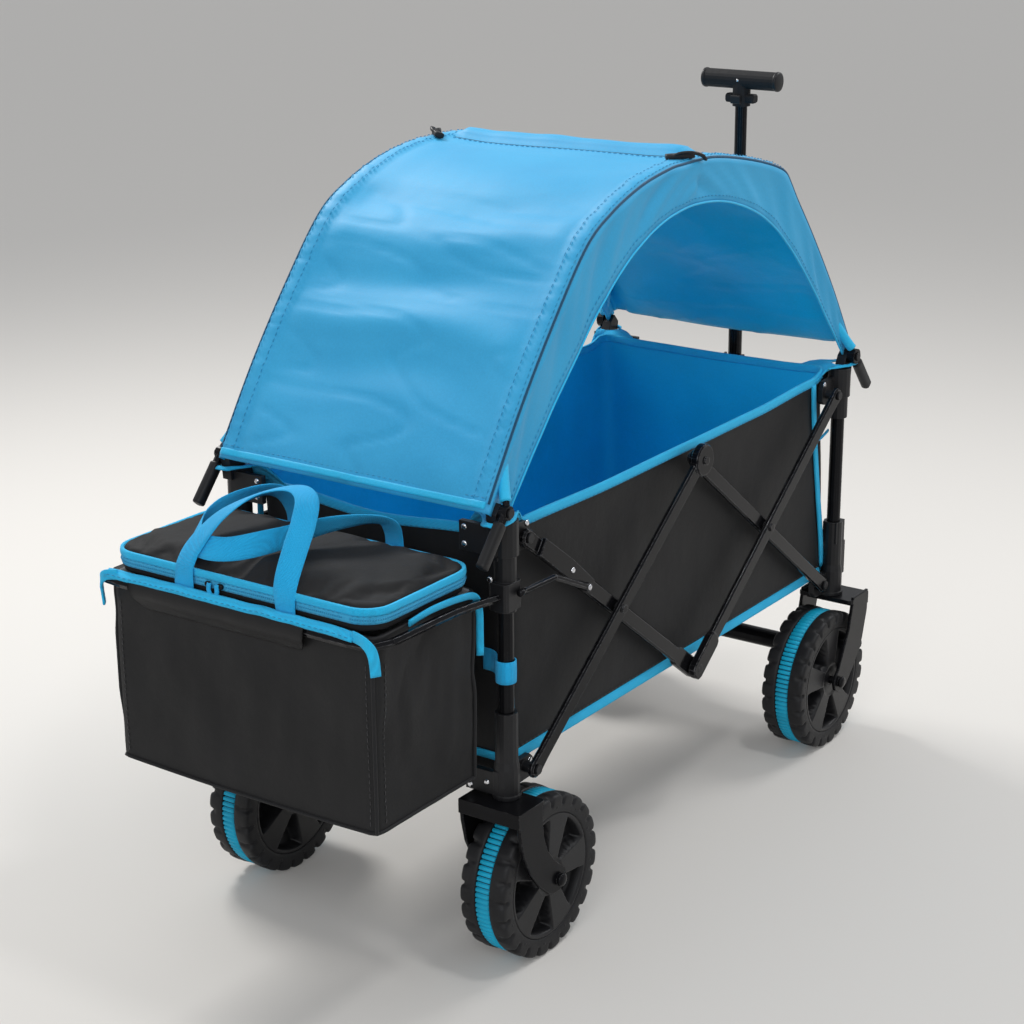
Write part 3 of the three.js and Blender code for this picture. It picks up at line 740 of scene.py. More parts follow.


# The sheet's inner side takes the brighter inside blue: painted light against the shade under the canopy.
sheet = make("canopy_sheet", [canopy_point(i, u) for i in range(len(arch)) for u in US],
             grid_faces(len(arch), len(US)), [BLUE_OUT, BLUE_IN_PAINTED_LIGHT])
centre = P(0, 0, 700)
flip = sum((p.normal.dot(Vector(p.center) - centre) > 0) * 2 - 1 for p in sheet.data.polygons) < 0
if flip:
    sheet.data.flip_normals()
canopy_piece(thicken(sheet, 0.0016, -1, 1), "canopy_near_cover", "canopy_far_cover")

steps = range(len(arch))
for side, s in SIDES:
    first_u, edge_u = (1, 0.0) if s > 0 else (2, 3.0)
    canopy_piece(tube(f"canopy_flap_hem_{side}", [canopy_point(i, edge_u) for i in steps], 0.0016, SLEEVE,
                      8))
    piping = tube(f"canopy_piping_{side}",
                  [canopy_point(i, first_u + s * 2.6 / (2 * SIDE), 1.6)
                   for i in steps[2:-2]], 0.0017, DARK_PIPING, 8)
    canopy_piece(piping)
    rows = []
    for e in (6.5, 24.5):
        path = [canopy_point(i, first_u + s * e / (2 * SIDE), 0.4) for i in steps[2:-2]]
        ups = [Vector((0, -arch_in[i][0], -arch_in[i][1])) for i in steps[2:-2]]
        rows.append(stitches(f"canopy_stitch_{side}_{e}", path, ups, THREAD))
    path = [canopy_point(i, edge_u + 0.14 * s, 0.4) for i in steps[2:-2]]
    rows.append(stitches(f"canopy_stitch_{side}_flap", path, Vector((s, 0, 0)), THREAD))
    canopy_piece(joined(f"canopy_stitching_{side}", rows))
cross = [u for u in US if 1.01 <= u <= 1.99]
for name, i, inward in (("near", 1, 4), ("far", len(arch) - 2, -4)):
    (ay, az), (by, bz) = arch[i], arch[i + inward]
    along = Vector((0, by - ay, bz - az)).normalized()
    o = ribbon(f"canopy_{name}_hem", [canopy_point(i, u, 1.2) + along * 0.003 for u in cross], along, 0.009,
               0.0016, SLEEVE)
    canopy_piece(o)
    up = Vector((0, -arch_in[i][0], -arch_in[i][1]))
    o = stitches(f"canopy_{name}_hem_stitches", [canopy_point(i, u, 0.8) + along * 0.012 for u in cross],
                 up, THREAD)
    canopy_piece(o)
inner = [u for u in US if 1.06 <= u <= 1.94]
for name, at_y in (("near", -4), ("far", 54)):
    i = min(steps, key=lambda k: abs(arch[k][0] - at_y))
    canopy_piece(stitches(f"canopy_ridge_stitches_{name}", [canopy_point(i, u, 0.5) for u in inner], UP,
                          THREAD))

# ---------------------------------------------------------------- tub
RIM_SIDE = [(-432, 585), (-380, 589), (-200, 586), (0, 588), (200, 590), (380, 597), (432, 606)]
RIM_NEAR = [(-204, 588), (-160, 580), (0, 569), (160, 580), (204, 588)]
RIM_FAR = [(-204, 607), (-120, 604), (0, 603), (120, 604), (204, 607)]
TUB_X, TUB_Y, CORNER = 203.2, 431, 22


def tub_loop(count=260):
    """Points around the tub's outline at the rim, evenly spaced, with each one's outward direction."""
    pts, corners = [], [(1, -1, -90), (1, 1, 0), (-1, 1, 90), (-1, -1, 180)]
    for sx, sy, start in corners:
        cx, cy = sx * (TUB_X - CORNER), sy * (TUB_Y - CORNER)
        for k in range(9):
            a = math.radians(start + 90 * k / 8)
            pts.append(Vector((cx + CORNER * math.cos(a), cy + CORNER * math.sin(a), 0)))
    return even_loop(pts, count)


def even_loop(pts, count):
    n = len(pts)
    length = [0.0]
    for k in range(n):
        length.append(length[-1] + (pts[(k + 1) % n] - pts[k]).length)
    out, k = [], 0
    for i in range(count):
        want = length[-1] * i / count
        while length[k + 1] < want:
            k += 1
        out.append(pts[k].lerp(pts[(k + 1) % n], (want - length[k]) / (length[k + 1] - length[k])))
    ways = []
    for i in range(count):
        t = (out[(i + 1) % count] - out[i - 1]).normalized()
        ways.append(Vector((t.y, -t.x, 0)))
    return out, ways


LOOP, LOOP_OUT = tub_loop()


def rim_height(p):
    near_far = RIM_NEAR if p.y < 0 else RIM_FAR
    on_end = smoothstep(TUB_Y - 30, TUB_Y - 4, abs(p.y))
    return lerp_table(RIM_SIDE, p.y) * (1 - on_end) + lerp_table(near_far, p.x) * on_end


FLOOR_Z = 271.0


def tub_point(k, v, out=0.0):
    """The tub's outer face: k around the loop, v 0 at the rim and 1 at the floor's edge."""
    p, w = LOOP[k], LOOP_OUT[k]
    top = rim_height(p)
    z = top + (FLOOR_Z - top) * v
    middle = math.sin(math.pi * min(v, 1)) ** 0.8
    corner = smoothstep(60, 8, (TUB_X - abs(p.x)) + (TUB_Y - abs(p.y)))
    slack = ((wave(p.x / 130, p.y / 130, v * 1.1, 1.0, 3.2) + wave(p.x / 40, p.y / 40, v * 1.8, 1.0, 1.4)
              - 1.6) * middle)
    creases = wave(p.x / 18, p.y / 18, v * 2.2, 1.0, 2.2) * corner * middle
    swell = min(slack + creases, 0.9 if abs(w.x) > 0.5 else 1.6)
    lean = 17 * smoothstep(TUB_Y - 130, TUB_Y, p.y) * smoothstep(0.05, 0.9, v)
    return P(p.x + w.x * (swell + out), p.y + w.y * (swell + out) + lean, z)


vs = [0, 0.012, 0.03, 0.055, 0.09, 0.14, 0.2, 0.27, 0.34, 0.42, 0.5, 0.58, 0.66, 0.74, 0.81, 0.87, 0.92,
      0.96, 0.985, 1.0]
rows = [[tub_point(k, v) for k in range(len(LOOP))] for v in vs]
for shrink, drop in ((0.992, 2.2), (0.975, 3.0), (0.94, 2.4), (0.86, 1.4), (0.72, 1.0), (0.55, 1.6),
                     (0.36, 1.0), (0.15, 1.4)):
    row = []
    for p in LOOP:
        y = p.y + 17 * smoothstep(TUB_Y - 130, TUB_Y, p.y)
        x, y = p.x * shrink, y - math.copysign(min(abs(y), (1 - shrink) * TUB_X), y)
        row.append(P(x, y, FLOOR_Z - drop + wave(x / 90, y / 90, 2.2, 1.0, 1.6)))
    rows.append(row)
verts = flat(rows)
n = len(LOOP)
faces = grid_faces(len(rows), n, close_cols=True)
faces.append(tuple((len(rows) - 1) * n + k for k in range(n)))
tub = make("tub_shell", verts, faces, [BLACK_FABRIC, BLUE_IN_PAINTED_LIGHT])
middle = P(0, 0, 430)
if sum(1 if p.normal.dot(Vector(p.center) - middle) > 0 else -1 for p in tub.data.polygons) < 0:
    tub.data.flip_normals()
thicken(tub, 0.0022, -1, 1)


def tub_soft(o):
    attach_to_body(o, "near_top")
    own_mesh(o)
    return o


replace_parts(tub_soft(tub), "tub_floor", "tub_side_right", "tub_side_left", "tub_near_end", "tub_far_end")

mat_pts, _ = even_loop([p - Vector((math.copysign(6, p.x), math.copysign(6, p.y), 0)) for p in LOOP], 120)
mat_rows = []
for inset, z in ((30, 280.6), (4, 280.6), (0, 282), (0, 285), (3, 286.8), (9, 287.2), (40, 286.4),
                 (100, 286.0), (160, 286.4)):
    row = []
    for p in mat_pts:
        x = p.x - math.copysign(min(inset, abs(p.x)), p.x)
        y = p.y - math.copysign(min(inset, abs(p.y)), p.y)
        row.append(P(x, y, z + (wave(x / 60, y / 60, 5.5, 1.0, 1.4) if z > 286 else 0)))
    mat_rows.append(row)
faces = tube_faces(len(mat_rows), len(mat_pts))
tub_soft(make("tub_floor_mat", flat(mat_rows), faces, BLUE_IN_PAINTED_LIGHT))

closed = list(range(n))
rim_path = [tub_point(k, 0.0) + Vector((0, 0, -0.0035)) - LOOP_OUT[k] * 0.001 for k in closed]
rim = ribbon("tub_rim_tape", rim_path, UP, 0.0125, 0.0042, BINDING, closed=True)
tub_soft(rim)
path = [tub_point(k, 0.026, 2.4) for k in closed + [0]]
tub_soft(stitches("tub_rim_stitches", path, [LOOP_OUT[k] for k in closed + [0]], THREAD))
for side, s in SIDES:
    ks = [k for k in closed if LOOP[k].x * s > TUB_X - 3 and abs(LOOP[k].y) < 424]
    ks.sort(key=lambda k: LOOP[k].y)
    path = [tub_point(k, 0.985, 0.8) for k in ks]
    tub_soft(ribbon(f"tub_bottom_tape_{side}", path, Vector((-0.25 * s, 0, 1)), 0.013, 0.0034, BINDING))
    path = [tub_point(k, 0.955, 1.2) for k in ks]
    tub_soft(stitches(f"tub_bottom_stitches_{side}", path, Vector((s, 0, 0)), BLACK_THREAD))
    rib = smooth_path([P(s * x, y, z)
                       for x, y, z in ((205.0, 384, 590), (205.2, 391, 523), (205.0, 408, 430),
                                       (204.6, 427, 340), (203.4, 438, 284))], 40)
    tub_soft(ribbon(f"tub_far_seam_tape_{side}", rib, Vector((0, 1, 0.2)), 0.011, 0.0030, BINDING))
    tie = route([(205.8, 396, 498), (206.5, 412, 500), (205.6, 428, 503), (204.9, 440, 506)], 12, s)
    tub_soft(ribbon(f"tub_far_tie_{side}", tie, UP, 0.0045, 0.0016, WEBBING))
    rib = route([(204.4, -424, 586), (204.6, -425, 480), (204.6, -424, 380), (204.2, -422, 284)], 40, s)
    tub_soft(ribbon(f"tub_near_seam_tape_{side}", rib, Vector((0, 1, 0)), 0.009, 0.003, BINDING))


skirt = [P(x, -431.5 + wave(x / 50, 2, 2, 1, 1.2), 265) for x in [-201 + 402 * k / 60 for k in range(61)]]
tub_soft(ribbon("tub_near_skirt", skirt, UP, 0.020, 0.0018, BLACK_FABRIC))
tape = [v + Vector((0, -0.0016, 0.0115)) for v in skirt]
tub_soft(ribbon("tub_near_bottom_tape", tape, UP, 0.010, 0.0030, BINDING))
tape = [P(x, 447.5 + wave(x / 50, 2, 5, 1, 0.8), 277) for x in [-200 + 400 * k / 60 for k in range(61)]]
tub_soft(ribbon("tub_far_bottom_tape", tape, UP, 0.011, 0.0030, BINDING))


# ---------------------------------------------------------------- blue corner pieces over the posts
def gusset(name, s, e, body, z):
    """A sewn corner that laps over a hub, with an opening for the hub's lug. s and e are the corner's x
    and y signs."""
    outline = [(140, 431), (176, 446), (196, 470), (206, 487), (224, 489), (233, 474), (230, 450),
               (214, 420), (205, 396), (203, 380),
               (202, 402), (196, 424), (180, 431)]
    hole = [(196, 461), (203, 475), (214, 481), (225, 476), (229, 463), (226, 451), (215, 446), (202, 450)]
    m = 52
    out_pts = smooth_path([Vector((x, y, 0)) for x, y in outline], m, closed=True)
    hole_pts = smooth_path([Vector((x, y, 0)) for x, y in hole], m, closed=True)
    shift = min(range(m), key=lambda q: sum((out_pts[k] - hole_pts[(k + q) % m]).length for k in range(m)))
    rows = []
    for t in (0, 0.2, 0.45, 0.7, 0.9, 1.0):
        row = []
        for k in range(m):
            p = out_pts[k].lerp(hole_pts[(k + shift) % m], t)
            near_rim = (smoothstep(428, 452, p.y)
                        if p.x < 200 else max(smoothstep(204, 214, p.x), smoothstep(428, 452, p.y)))
            top = z - 3 + 3 * math.sin(t * 3)
            rim_z = rim_height(Vector((s * min(p.x, 203), e * min(p.y, 431), 0))) - 4
            row.append(P(s * p.x, e * p.y, rim_z * (1 - near_rim) + top * near_rim
                         + wave(p.x / 14, p.y / 14, s + 2 * e, 1.0, 1.3)))
        rows.append(row)
    o = make(name, flat(rows), grid_faces(len(rows), m, close_cols=True), [BINDING, BLUE_IN_PAINTED_LIGHT])
    thicken(o, 0.0016, 0)
    attach(o, body)
    edge = [v + Vector((0, 0, 0.0006)) for v in rows[-1]]
    attach(tube(name + "_hole_hem", edge, 0.0014, SLEEVE, 8, closed=True), body)


for side, s in SIDES:
    gusset(f"near_corner_panel_{side}", s, -1, "near_top", 609.5)
    gusset(f"far_corner_panel_{side}", s, 1, "far_top", 611.5)
    ring = []
    for k in range(40):
        a = 2 * math.pi * k / 40
        ring.append(P(s * 215 + 12.4 * math.cos(a), -450 + 12.4 * math.sin(a), 407.5))
    loop = ribbon(f"near_post_loop_{side}", ring, UP, 0.029, 0.0018, WEBBING, closed=True)
    attach(loop, "near_frame")
    tail = route([(203.5, -449, 407), (196, -442, 407), (184, -434, 408), (168, -432.6, 408)], 14, s)
    loop = ribbon(f"near_post_loop_tail_{side}", tail, UP, 0.029, 0.0018, WEBBING)
    attach(loop, "near_frame")


# ---------------------------------------------------------------- cooler bag
BX, BY0, BY1, BZ0, BZ1 = 210.5, -703, -501, 281, 530


def box_loop(hx, y0, y1, r, count):
    pts = []
    for cx, cy, start in ((hx - r, y0 + r, -90), (hx - r, y1 - r, 0), (-hx + r, y1 - r, 90),
                          (-hx + r, y0 + r, 180)):
        for k in range(7):
            a = math.radians(start + 90 * k / 6)
            pts.append(Vector((cx + r * math.cos(a), cy + r * math.sin(a), 0)))
    return even_loop(pts, count)


COUNT = 150
bag_out, bag_way = box_loop(BX, BY0, BY1, 14, COUNT)


def bag_point(k, v, extra=0.0):
    """The bag's outside: v 0 at the bottom edge, 1 at the top."""
    p, w = bag_out[k], bag_way[k]
    front = smoothstep(0.6, 1.0, -w.y)
    side = smoothstep(0.6, 1.0, abs(w.x))
    middle = math.sin(math.pi * v) ** 0.7
    across = (1 - (p.x / BX) ** 2) if abs(w.y) > 0.6 else (1 - ((p.y - (BY0 + BY1) / 2) / 101) ** 2)
    belly = -2.0 * middle * max(across, 0) * front - 3.5 * middle * side * max(across, 0)
    creases = (wave(p.x / 60, p.y / 60, v * 2.1, 1.0, 5.0) * middle
               + wave(p.x / 26, p.y / 26, v * 4.5 + 3, 1.0, 2.0 + 3.0 * side) * middle)
    drape = (wave(p.x / 45, p.y / 45, v * 0.9 + 7, 1.0, 3.4) * smoothstep(0.45, 0.95, v)
             * (1 - smoothstep(0.96, 1.0, v)) * side)
    narrow = -4.0 * (1 - v) * side
    pleat = (-3.5 * max(0.0, 1 - abs(wave(p.x / 80, p.y / 70, v * 3.0 + 11, 1.0, 4.0))) ** 4
             * smoothstep(0.35, 0.8, v) * (1 - smoothstep(0.93, 0.99, v)) * side)
    d = belly + creases + drape + narrow + pleat
    d = (min(d, 0.8) if d > -5 else -5 - 3.5 * math.tanh((-5 - d) / 3.5)) + extra
    drop = 3.5 * max(across, 0) * (1 - v) ** 6 if abs(w.y) > 0.6 else 0
    return P(p.x + w.x * d, p.y + w.y * d, BZ0 + (BZ1 - BZ0) * v - drop)


rows = []
for shrink in (0.12, 0.4, 0.7, 0.9, 0.97):
    rows.append([P(p.x * shrink, (BY0 + BY1) / 2 + (p.y - (BY0 + BY1) / 2) * shrink, BZ0
                   - 3.4 * (1 - shrink ** 4) + wave(p.x * shrink / 50, p.y / 50, 1, 1,
        1.0)) for p in bag_out])
for v in [0, 0.012, 0.03, 0.06, 0.1, 0.16, 0.23, 0.3, 0.38, 0.46, 0.54, 0.62, 0.7, 0.77, 0.83, 0.88, 0.92,
          0.96, 0.985, 0.997]:
    rows.append([bag_point(k, v) for k in range(COUNT)])
for inset, z in ((2, BZ1), (5, BZ1 - 0.2), (7, BZ1 - 3), (11, 500), (12, 420), (12, 340), (13, 300),
                 (15, 292), (21, 289.6)):
    rows.append([P(p.x - w.x * inset, p.y - w.y * inset, z) for p, w in zip(bag_out, bag_way)])
for shrink in (0.8, 0.5, 0.15):
    rows.append([P(p.x * shrink, (BY0 + BY1) / 2 + (p.y - (BY0 + BY1) / 2) * shrink, 289.2)
                 for p in bag_out])
faces = tube_faces(len(rows), COUNT)
inner_from = (5 + 20 + 2 - 1) * COUNT
slots = [int(k >= inner_from) for k in range(len(faces))]
slots[-2] = 0
bag = make("cooler_body", flat(rows), faces, [BLACK_FABRIC, LINING], slots=slots)
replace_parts(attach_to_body(bag, "near_top"), "bag_body")


def bag_piece(o, body="near_top"):
    return attach(o, body)


def loop_index(x, y):
    return min(range(COUNT), key=lambda k: (bag_out[k] - Vector((x, y, 0))).length)


vv = [0.004 + 0.98 * k / 40 for k in range(41)]
for name, x, y in (("near_right", BX, BY0), ("near_left", -BX, BY0), ("far_right", BX, BY1),
                   ("far_left", -BX, BY1)):
    k = loop_index(x, y)
    bag_piece(tube(f"cooler_piping_{name}", [bag_point(k, v, 0.9) for v in vv], 0.0024, BLACK_PIPING, 8))
bag_piece(tube("cooler_piping_bottom", [bag_point(k, 0.006, 0.7) for k in range(COUNT)], 0.0022,
               BLACK_PIPING, 8, closed=True))
for name, x, y in (("front_right", BX - 18, BY0), ("front_left", -BX + 18, BY0),
                   ("side_right", BX, BY0 + 18), ("side_left", -BX, BY0 + 18)):
    k = loop_index(x, y)
    bag_piece(stitches(f"cooler_stitches_{name}", [bag_point(k, v, 0.3) for v in vv[1:-4]], bag_way[k],
                       BLACK_THREAD))


# the sleeve that holds the rack's front rail, cut short of both corners, and the blue tape along its top
def sleeve_row(x):
    prof = smooth_path([Vector((-703.2, 531.0, 0)), Vector((-708, 533.0, 0)), Vector((-714, 531.6, 0)),
                        Vector((-719, 527, 0)),
                        Vector((-720, 520.5, 0)), Vector((-717.8, 513, 0)), Vector((-711, 504,
                            0)), Vector((-704.4, 494, 0))], 18)
    reach = 0.42 + 0.58 * min(smoothstep(-163, -146, x), 1 - smoothstep(100, 117, x)) ** 0.5
    out = []
    for k in range(len(prof)):
        f = k * reach
        q = prof[int(f)].lerp(prof[min(int(f) + 1, len(prof) - 1)], f - int(f))
        out.append(P(x, q.x + wave(x / 30, f * 0.2, 8, 1, 0.9), q.y + wave(x / 40, f * 0.12, 2, 1, 0.7)))
    return out


xs = [-163 + 280 * k / 70 for k in range(71)]
rows = [sleeve_row(x) for x in xs]
flap = make("cooler_rail_sleeve", flat(rows), grid_faces(len(rows), len(rows[0])), BLACK_FABRIC)
bag_piece(thicken(flap, 0.0018, 0))
tape_xs = [-204 + 392 * k / 98 for k in range(99)]
edge = [P(x, -713 + wave(x / 60, 1, 1, 1, 1.2), 533.6 + wave(x / 34, 0, 4, 1, 1.2)
          - 1.6 * smoothstep(120, 190, abs(x))) for x in tape_xs]
tape_up = Vector((0, -0.55, 0.83))
bag_piece(ribbon("cooler_rail_tape", edge, Vector((0, 0.83, 0.55)), 0.0130, 0.0034, BINDING))
bag_piece(stitches("cooler_rail_stitches",
                   [v + tape_up * 0.0022
                    + Vector((0, -0.0035, -0.0024)) for v in edge], tape_up, THREAD))
for side, s in SIDES:
    tab = route([(186, -713, 532.5), (196, -714.5, 531.5), (206, -716, 529), (214, -714, 520),
                 (216, -711.5, 506), (216, -709.5, 488)], 22, s)
    ways = [Vector((0, 0.1, 1)).lerp(Vector((0.62 * s, 0.78, 0)), smoothstep(0.42, 0.75, k / 22))
            for k in range(23)]
    bag_piece(ribbon(f"cooler_corner_tab_{side}", tab, ways, 0.0125, 0.0026, BINDING))
    loop = route([(211.5, -640, 530), (216, -600, 536), (216.5, -545, 533), (213.5, -512, 524),
                  (209, -497, 500), (207, -493.5, 468), (206, -492, 440)], 44, s)
    ways = [Vector((0.25 * s, 0, 1)).lerp(Vector((0.75 * s, 0.66, 0.0)), smoothstep(0.55, 0.75, k / 44))
            for k in range(45)]
    bag_piece(ribbon(f"cooler_side_tape_{side}", loop, ways, 0.009, 0.0024, BINDING))

# the lid: a soft padded slab with a bound edge and a zip band
LX, LY0, LY1, LZ = 207, -701, -502, 531
lid_out, lid_way = box_loop(LX, LY0, LY1, 34, 160)


def lid_ring(inset, z, bow=0.0):
    return [P(p.x - w.x * inset, p.y - w.y * inset, z + bow) for p, w in zip(lid_out, lid_way)]


def pad_height(x, y):
    u, v = x / LX, (y - (LY0 + LY1) / 2) / ((LY1 - LY0) / 2)
    f = max(0.0, (1 - abs(u) ** 2.6) * (1 - abs(v) ** 2.4)) ** 0.55
    return 12.5 * f


under = []
for shrink in (0.2, 0.4, 0.6, 0.8):
    under.append([P(p.x * shrink, (LY0 + LY1) / 2 + (p.y - (LY0 + LY1) / 2) * shrink, LZ + 1.6)
                  for p in lid_out])
rows = under + [lid_ring(12, LZ + 1.6), lid_ring(6, LZ + 1), lid_ring(1.5, LZ + 0.6), lid_ring(0.3, LZ + 2),
                lid_ring(0, LZ + 8), lid_ring(0, LZ + 15),
        lid_ring(0.3, LZ + 22), lid_ring(0.6, LZ + 28), lid_ring(2, LZ + 30)]
cy = (LY0 + LY1) / 2
for shrink in (0.975, 0.95, 0.91, 0.85, 0.77, 0.67, 0.55, 0.42, 0.28, 0.12):
    row = []
    for p in lid_out:
        x, y = p.x * shrink, cy + (p.y - cy) * shrink
        z = (LZ + 30 + pad_height(x, y)
             + (wave(x / 55, y / 55, 3, 1, 3.6)
                + wave(x / 20, y / 20, 5, 1, 1.0)) * smoothstep(1, 0.85, shrink))
        row.append(P(x, y, z))
    rows.append(row)
faces = tube_faces(len(rows), len(lid_out))
lid = make("cooler_lid_pad", flat(rows), faces, LID_FABRIC)


def puff(o, pinned_below, voxel=0.0055, pressure=4.0, frames=18, cap=0.0062):
    """Blows a padded piece up like a cushion with a cloth simulation, then keeps the shape."""
    sc = bpy.context.scene
    old = sc.frame_start, sc.frame_end
    work = bpy.data.objects.new("puff_work", o.data.copy())
    bpy.context.collection.objects.link(work)
    m = work.modifiers.new("voxel", "REMESH")
    m.mode, m.voxel_size = "VOXEL", voxel
    apply_all(work)
    start = [v.co.copy() for v in work.data.vertices]
    pinned = work.vertex_groups.new(name="pin")
    pinned.add([v.index for v in work.data.vertices if v.co.z < pinned_below], 1.0, "REPLACE")
    c = work.modifiers.new("cloth", "CLOTH")
    st = c.settings
    st.vertex_group_mass = "pin"
    st.quality, st.mass = 6, 0.15
    st.tension_stiffness = st.compression_stiffness = 22
    st.shear_stiffness, st.bending_stiffness = 8, 1.2
    st.use_pressure, st.uniform_pressure_force = True, pressure
    st.shrink_min = -0.035
    st.effector_weights.gravity = 0
    c.point_cache.frame_start, c.point_cache.frame_end = 1, frames
    sc.frame_start, sc.frame_end = 1, frames
    for f in range(1, frames + 1):
        sc.frame_set(f)
    apply_all(work)
    sc.frame_set(1)
    sc.frame_start, sc.frame_end = old
    for v, was in zip(work.data.vertices, start):
        d = v.co - was
        if d.length > cap:
            v.co = was + d.normalized() * cap
    s = work.modifiers.new("sub", "SUBSURF")
    s.levels = s.render_levels = 1
    apply_all(work)
    for p in work.data.polygons:
        p.use_smooth = True
    name = o.name
    materials = list(o.data.materials)
    bpy.data.objects.remove(o)
    work.name = name
    work.data.name = name
    work.data.materials.clear()
    for mt in materials:
        work.data.materials.append(mt)
    return work


lid = puff(lid, LZ / 1000 + 0.031)
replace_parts(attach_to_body(lid, "bag_lid"), "bag_lid")

upper = [v + Vector((w.x, w.y, 0)) * 0.0006 for v, w in zip(lid_ring(0, LZ + 26), lid_way)]
bag_piece(ribbon("lid_edge_tape", upper, UP, 0.0090, 0.0042, BINDING, closed=True),
          "bag_lid")
inner = []
for shrink in (0.02, 0.1, 0.2, 0.3, 0.42, 0.54, 0.66, 0.76, 0.85, 0.91, 0.945):
    inner.append([P(p.x * shrink, cy + (p.y - cy) * shrink, LZ + 0.9
                    + min(wave(p.x * shrink / 40, p.y * shrink / 40, 7, 1, 1.5), 0.5)) for p in lid_out])
lining = make("lid_lining", flat(inner), grid_faces(len(inner), len(lid_out), close_cols=True), LINING)
bag_piece(thicken(lining, 0.0008, 0), "bag_lid")
seam = [P(p.x * 0.945, cy + (p.y - cy) * 0.945, LZ + 0.8) for p in lid_out]
bag_piece(tube("lid_lining_piping", seam, 0.0014, BLACK_PIPING, 8, closed=True), "bag_lid")
lower = [v + Vector((w.x, w.y, 0)) * 0.0004 for v, w in zip(lid_ring(0, LZ + 16.5), lid_way)]
bag_piece(ribbon("lid_zip_band", lower, UP, 0.0110, 0.0024, ZIP, closed=True), "bag_lid")
teeth = stitches("lid_zip_teeth", [v + Vector((w.x, w.y, 0)) * 0.0016 for v, w in zip(lower, lid_way)] ,
                 [Vector((w.x, w.y, 0)) for w in lid_way], THREAD, 0.0018, 0.0013, 0.0011, 0.0003)
bag_piece(teeth, "bag_lid")
for z in (LZ + 20.5, LZ + 12.6):
    path = [v + Vector((w.x, w.y, 0)) * 0.0016 for v, w in zip(lid_ring(0, z), lid_way)]
    bag_piece(stitches(f"lid_band_stitches_{z}", path, [Vector((w.x, w.y, 0)) for w in lid_way], THREAD,
                       0.004, 0.003, 0.0004), "bag_lid")
for s, lean in ((-1, -4), (1, 5)):
    x = -32 + s * 8
    pull = smooth_path([P(x, -704.5, LZ + 16), P(x - s * 2, -707.5, LZ + 18),
                        P(x - s * 6 + lean, -708.5, LZ + 10), P(x - s * 10 + lean, -707.5, LZ)], 14)
    bag_piece(ribbon(f"zip_pull_{s}", pull, X_AXIS, 0.006, 0.0018, WEBBING), "bag_lid")
    slider = [(P(x + q * 3 * s, -705, LZ + 16.5), Vector((0, -1, 0))) for q in range(2)]
    bag_piece(domes(f"zip_slider_{s}", slider, METAL, 0.0036, 0.003), "bag_lid")


def strap(name, points, ways, width, steps=90):
    path = smooth_path([P(*p) for p in points], steps)
    curve = smooth_path([Vector(w).normalized() for w in ways], steps)
    return bag_piece(ribbon(name, path, curve, width, 0.0016, WEBBING), "bag_lid")


strap("carry_loop_front",
      [(-80, -706.5, 536), (-79, -706.5, 552), (-78, -704.5, 566), (-72, -692, 588), (-50, -668, 622),
       (-14, -640, 648), (26, -622, 658), (52, -628, 652),
       (66, -650, 632), (74, -678, 604), (78, -698, 578), (80, -706.5, 558), (81, -706.5, 536)],
      [(1, 0, 0), (1, 0, 0), (1, 0.02, 0), (0.92, -0.3, -0.25), (0.75, -0.62, -0.2), (0.5, -0.85, 0.1),
       (0.15, -0.98, 0.1), (-0.35, -0.93, -0.1),
       (-0.85, -0.5, 0.1), (-0.97, -0.2, 0.1), (-1, 0, 0), (-1, 0, 0), (-1, 0, 0)], 0.029)
strap("carry_loop_back",
      [(80, -496.5, 536), (80, -496.5, 554), (81, -500, 576), (84, -516, 596), (76, -548, 607),
       (48, -590, 606), (12, -648, 596), (-28, -684, 588),
       (-70, -688, 589), (-99, -652, 600), (-97, -596, 613), (-84, -548, 617), (-80, -518, 604), (-79, -500,
           578), (-79, -496.5, 554), (-80, -496.5, 536)],
      [(1, 0, 0), (1, 0, 0), (1, 0, 0.05), (0.9, -0.2, 0.35), (0.55, -0.15, 0.8), (0.2, 0.2, 0.95),
       (0.0, 0.45, 0.9), (-0.1, 0.5, 0.86),
       (0.0, 0.5, 0.86), (0.35, 0.35, 0.86), (0.45, 0.15, 0.88), (0.3, -0.1, 0.95), (0.85, -0.1, 0.5), (1,
           0, 0.05), (1, 0, 0), (1, 0, 0)], 0.029, 120)


# ---------------------------------------------------------------- canopy corners
for end, e in (("near", -1), ("far", 1)):
    for side, s in SIDES:
        ends = P(s * 229, e * 479, 611), P(s * 229, e * 519, 564.5)
        path = [ends[0].lerp(ends[1], k / 12) for k in range(13)]
        lever = ribbon(f"canopy_lever_{end}_{side}", path, X_AXIS, 0.0136, 0.0128, PLASTIC)
        attach(soften(lever, 0.0028, 3), f"canopy_{end}")
        path = route([(208, e * 444, 675), (213, e * 450, 663), (222, e * 460, 644), (227, e * 465, 635)],
                     20, s)
        cover = tube(f"canopy_pole_sleeve_{end}_{side}", path, 0.0072, SLEEVE, 18)
        attach(cover, f"canopy_{end}")
for name, at_y in (("near", 8), ("far", 49)):
    i = min(range(len(arch)), key=lambda k: abs(arch[k][0] - at_y))
    inner = [u for u in US if 1.07 <= u <= 1.93]
    canopy_piece(tube(f"canopy_ridge_piping_{name}", [canopy_point(i, u, 0.6) for u in inner], 0.0012,
                      DARK_PIPING, 8))


# ---------------------------------------------------------------- grip details
GRIP_Z = 1025.5
for side, s in SIDES:
    cap = [P(s * x, 505, GRIP_Z) for x in (60.5, 61, 62, 63.5, 65.2, 66.2)]
    radii = [14.7, 15.1, 15.3, 15.3, 14.9, 12.6]
    o = tube(f"grip_cap_{side}", cap, lambda t: radii[min(int(round(t * 5)), 5)] / 1000, PLASTIC, 36)
    attach(o, "handle_upper")
rivets("grip_screw", [(P(0, 505 - 14.4, GRIP_Z), Vector((0, -1, 0))),
                      (P(0, 505 + 14.4, GRIP_Z),
                       Vector((0, 1, 0)))], "handle_upper", STEEL, r=0.0022, h=0.0012)


